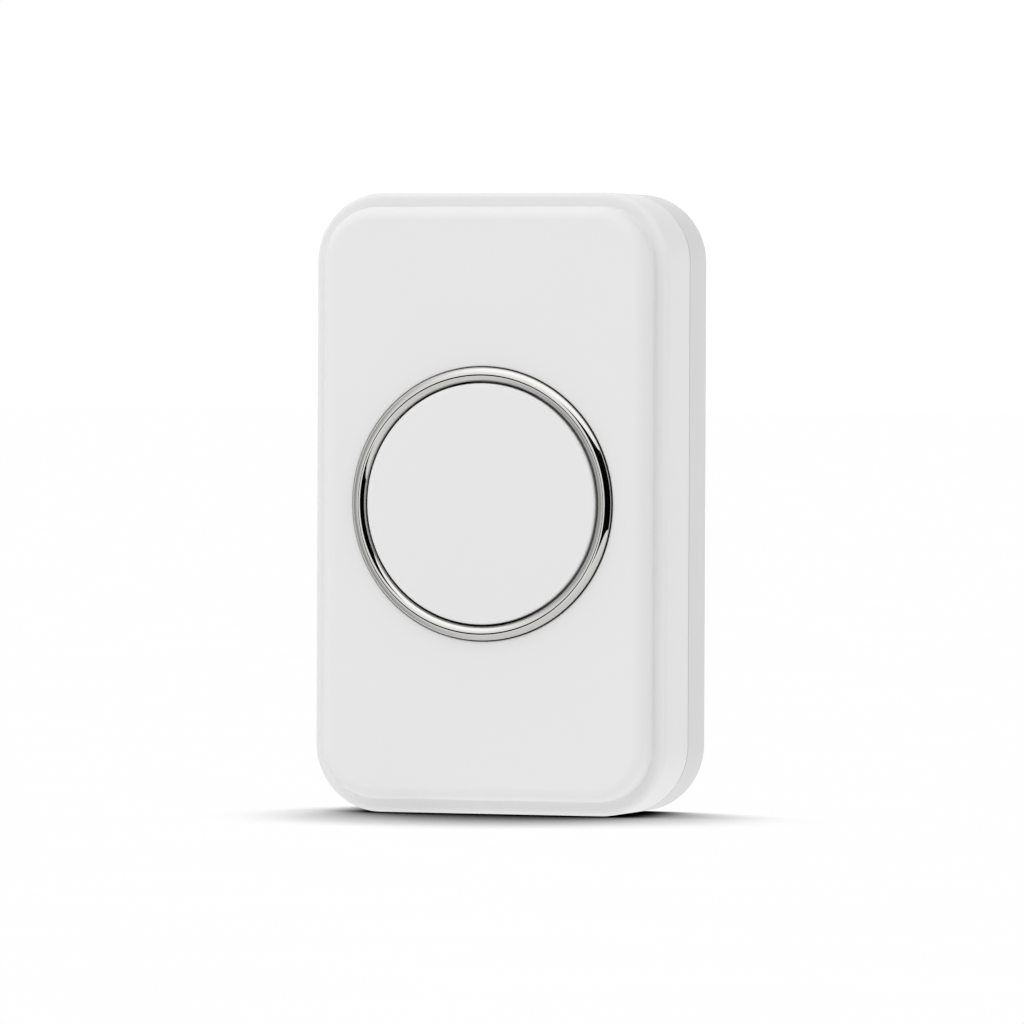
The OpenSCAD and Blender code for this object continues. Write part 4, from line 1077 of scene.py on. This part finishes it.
def screws():
    """Case, generator and board screws."""
    large = screw(screw_r, screw_l, head_r, head_h)
    case = in_rows(large, ZINC, 2 * screw_x, 2 * screw_y, (0, 0, head_seat_z))
    piece("case_screw_set", [case], "root", ["case_screws"])
    over = Matrix.Rotation(math.pi, 4, "X")
    rows = []
    for span, y, count in ((2 * base_screw_x, base_screw_y, 2), (0, tail_screw_y, 1)):
        small = screw(small_r, small_l, washer_r, small_head_h)
        small.transform(over)
        rows.append(in_rows(small, ZINC, span, 0, (0, y, base_z), count, 1))
    piece("generator_screw_set", rows, "root", ["generator_screws"])
    small = screw(small_r, small_l, small_head_r, small_head_h)
    small.transform(over)
    place = (0, board_end_y - board_inset, board_top_z)
    pair = in_rows(small, ZINC, 2 * board_post_x, 0, place, 2, 1)
    piece("board_screw_set", [pair], "root", ["board_screws"])


# Wall plate
def wall_plate():
    """Plate for the wall with screw holes, pegs and a shallow bed for the tape."""
    section = [(-plate_edge - SUPPORT, plate_top_z)]
    section += arc(-plate_edge, plate_top_z - plate_edge, plate_edge, 90, 0, SOFT_STEPS)
    section += arc(-plate_edge, plate_back_z + plate_edge, plate_edge, 0, -90, SOFT_STEPS)
    section += [(-plate_edge - SUPPORT, plate_back_z)]
    slab_mesh = swept(section, PLATE_WHITE, w=plate_w, h=plate_h, r=plate_r)
    plate = closed([slab_mesh], [plate_top_z, plate_back_z])
    sink_z = plate_top_z - (sink_r - hole_r)
    low = plate_back_z - overlap
    high = plate_top_z + overlap
    cuts = []
    for end in (-1, 1):
        hole = [(0, low), (hole_r, low), (hole_r, sink_z), (sink_r + overlap, high), (0, high)]
        cuts.append(closed([turned(hole, PLATE_WHITE, SMALL_STEPS, (0, end * hole_pitch / 2))]))
    bed = {"w": pad_w + 2 * pad_gap, "h": pad_h + 2 * pad_gap, "r": pad_r + pad_gap}
    cuts.append(slab(low, plate_back_z + pad_sunk, PLATE_WHITE, **bed))
    plate = carved(plate, (), cuts)
    top = plate_top_z + peg_l
    peg = [(0, plate_top_z - plate_t / 2), (peg_r, plate_top_z - plate_t / 2)]
    peg += arc(peg_r - peg_round, top - peg_round, peg_round, 0, 90, SOFT_STEPS)
    peg += [(0, top)]
    pegs = in_rows(closed([turned(peg, PLATE_WHITE)]), PLATE_WHITE, 2 * peg_x, 2 * peg_y)
    piece("wall_plate_skin", [plate, pegs], "plate", ["wall_plate"])


def foam_tape():
    """Foam tape whose cut sides are a little drawn in between its two faces."""
    section = [(-SUPPORT - pad_draw, pad_front_z)]
    for i in range(TAPE_STEPS + 1):
        part = i / TAPE_STEPS
        height = pad_front_z + (pad_back_z - pad_front_z) * part
        section.append((-pad_draw * math.sin(math.pi * part), height))
    section += [(-SUPPORT - pad_draw, pad_back_z)]
    tape = swept(section, FOAM, w=pad_w, h=pad_h, r=pad_r)
    piece("foam_tape", [tape], "plate", ["adhesive_pad"], [pad_front_z, pad_back_z])


# Springs and wires
def return_springs():
    """Two coil springs with closed ends under the button."""
    for side, name in ((-1, "left"), (1, "right")):
        node = "return_spring_" + name
        low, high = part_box(node)
        radius = (high.x - low.x - spring_wire) / 2
        start = height_of(high.y) + spring_wire / 2
        rise = high.y - low.y - spring_wire
        steps = WIND_STEPS * spring_turns
        dead = 1 / spring_turns
        low_part = spring_wire / rise
        points = []
        for i in range(steps + 1):
            part = i / steps
            inner = min(max((part - dead) / (1 - 2 * dead), 0), 1)
            ends = min(part / dead, 1) + max((part - 1) / dead + 1, 0)
            height = low_part * ends + (1 - 2 * low_part) * inner
            turn = 2 * math.pi * spring_turns * part
            x = side * spring_x + radius * math.cos(turn)
            points.append((x, radius * math.sin(turn), start + rise * height))
        spring = wire(points, spring_wire / 2, SPRING_WIRE)
        made = piece("coil_spring_" + name, [spring], "root", [node])
        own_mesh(made)


def lever_spring():
    """Torsion spring on the lever's pin, with a leg on the base and a leg under the lever."""
    low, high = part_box("lever_spring")
    pin_low, pin_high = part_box("lever_pin")
    pin_y = (pin_low.z + pin_high.z) / 2 - middle_h
    pin_z = height_of((pin_low.y + pin_high.y) / 2)
    wire_r = lever_spring_wire / 2
    radius = lever_spring_d / 2 - wire_r
    half = lever_spring_turns * lever_spring_wire
    turns = lever_spring_turns + last_turn
    points = [(-half, pin_y - radius, height_of(high.y) + wire_r)]
    for i in range(TORSION_STEPS + 1):
        turn = 2 * math.pi * turns * i / TORSION_STEPS
        x = -half + 2 * half * i / TORSION_STEPS
        points.append((x, pin_y - radius * math.cos(turn), pin_z + radius * math.sin(turn)))
    points.append((half, high.z - middle_h - wire_r, height_of(low.y) - wire_r))
    spring = wire(points, wire_r, SPRING_WIRE)
    made = piece("torsion_spring", [spring], "root", ["lever_spring"])
    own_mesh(made)


def coil_winding():
    """Enamelled wire wound in neat turns on the bobbin."""
    low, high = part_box("coil_winding")
    sizes = {"Width": high.x - low.x - 2 * winding_wire, "Depth": high.y - low.y - 2 * winding_wire}
    sizes["Radius"] = coil_round - winding_wire
    sizes["Length"] = high.z - low.z - winding_wire
    turns = grown(line_mesh([(0, 0, 0), (1, 0, 0)]), WINDING, COPPER, Wire=winding_wire, **sizes)
    start = (0, low.z - middle_h + winding_wire, height_of((low.y + high.y) / 2))
    turns.transform(Matrix.Translation(start) @ Matrix.Rotation(-math.pi / 2, 4, "X"))
    piece("coil_turns", [turns], "root", ["coil_winding"])


def antenna():
    """Antenna wire wound in a coil along the board's end."""
    low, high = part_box("antenna_coil")
    radius = (high.z - low.z - antenna_wire) / 2
    y = (low.z + high.z) / 2 - middle_h
    z = height_of(low.y) - antenna_wire / 2 - radius
    half = antenna_l / 2
    points = [(-half - antenna_wire, y, board_top_z), (-half - antenna_wire, y, z)]
    steps = WIND_STEPS * antenna_turns
    for i in range(steps + 1):
        turn = 2 * math.pi * antenna_turns * i / steps
        x = -half + antenna_l * i / steps
        points.append((x, y + radius * math.sin(turn), z + radius * math.cos(turn)))
    turns = wire(points, antenna_wire / 2, COPPER)
    piece("antenna_turns", [turns], "root", ["antenna_coil"])


def coil_leads():
    """Two insulated wires from the coil round the base to the board."""
    low_z = floor_z + lead_d / 2 + seat_gap
    on_base_z = base_z + lead_d / 2 + 2 * seat_gap
    pin_z = base_z + bobbin_t
    # Points of the right-hand wire: x and y in millimetres, height in metres
    route = [
        (3.6, -16.5, pin_z),
        (3.6, -17.4, pin_z),
        (4, -18.9, on_base_z),
        (4.2, -21.4, on_base_z),
        (5, -23, on_base_z),
        (6.6, -23.4, on_base_z),
        (12.7, -23.4, on_base_z),
        (14.7, -23.1, on_base_z - 0.2 * MM),
        (16, -22.2, low_z + 0.4 * MM),
        (16.4, -20.4, low_z),
        (16.4, 6, low_z),
        (15.9, 13.5, low_z + 0.5 * MM),
        (13.4, 16, low_z + 1.2 * MM),
        (8, 19.1, board_z - 1.6 * MM),
        (7, 19.5, board_z - 0.8 * MM),
        (7, 19.5, board_z),
    ]
    meshes = []
    for side in (-1, 1):
        points = [(side * x * MM, y * MM, z) for x, y, z in route]
        meshes.append(wire(points, lead_d / 2, LEAD_RED))
    piece("coil_lead_pair", meshes, "root", ["coil_leads"])


# CAD nodes that keep their shape, with their finishes
NODE_FINISHES = {
    "generator_base": GREY_MOULDING,
    "coil_bobbin": NYLON,
    "terminal_pins": BRASS,
    "iron_core": IRON,
    "magnet_rocker": BLACK_MOULDING_AND_GAP_SHADE,
    "magnet": NICKEL,
    "front_pole_plate": IRON,
    "rear_pole_plate": IRON,
    "push_lever": BLACK_MOULDING_AND_GAP_SHADE,
    "lever_pin": SPRING_WIRE,
    "snap_leaf": SPRING_WIRE,
    "leaf_rivets": BRASS,
    "circuit_board": BOARD_MASK,
    "transmitter_chip": EPOXY,
    "storage_capacitor": CAN,
    "crystal_can": CAN,
    "rectifier_diodes": EPOXY,
}


def finish_nodes():
    """Gives each CAD node that stays its own finish."""
    for name, material in NODE_FINISHES.items():
        mesh = frame["nodes"][name].data
        mesh.materials.clear()
        mesh.materials.append(material)


add_camera()
add_studio()
front_shell()
trim_ring()
button()
rear_shell()
seam_gasket()
screws()
wall_plate()
foam_tape()
return_springs()
lever_spring()
coil_winding()
antenna()
coil_leads()
finish_nodes()
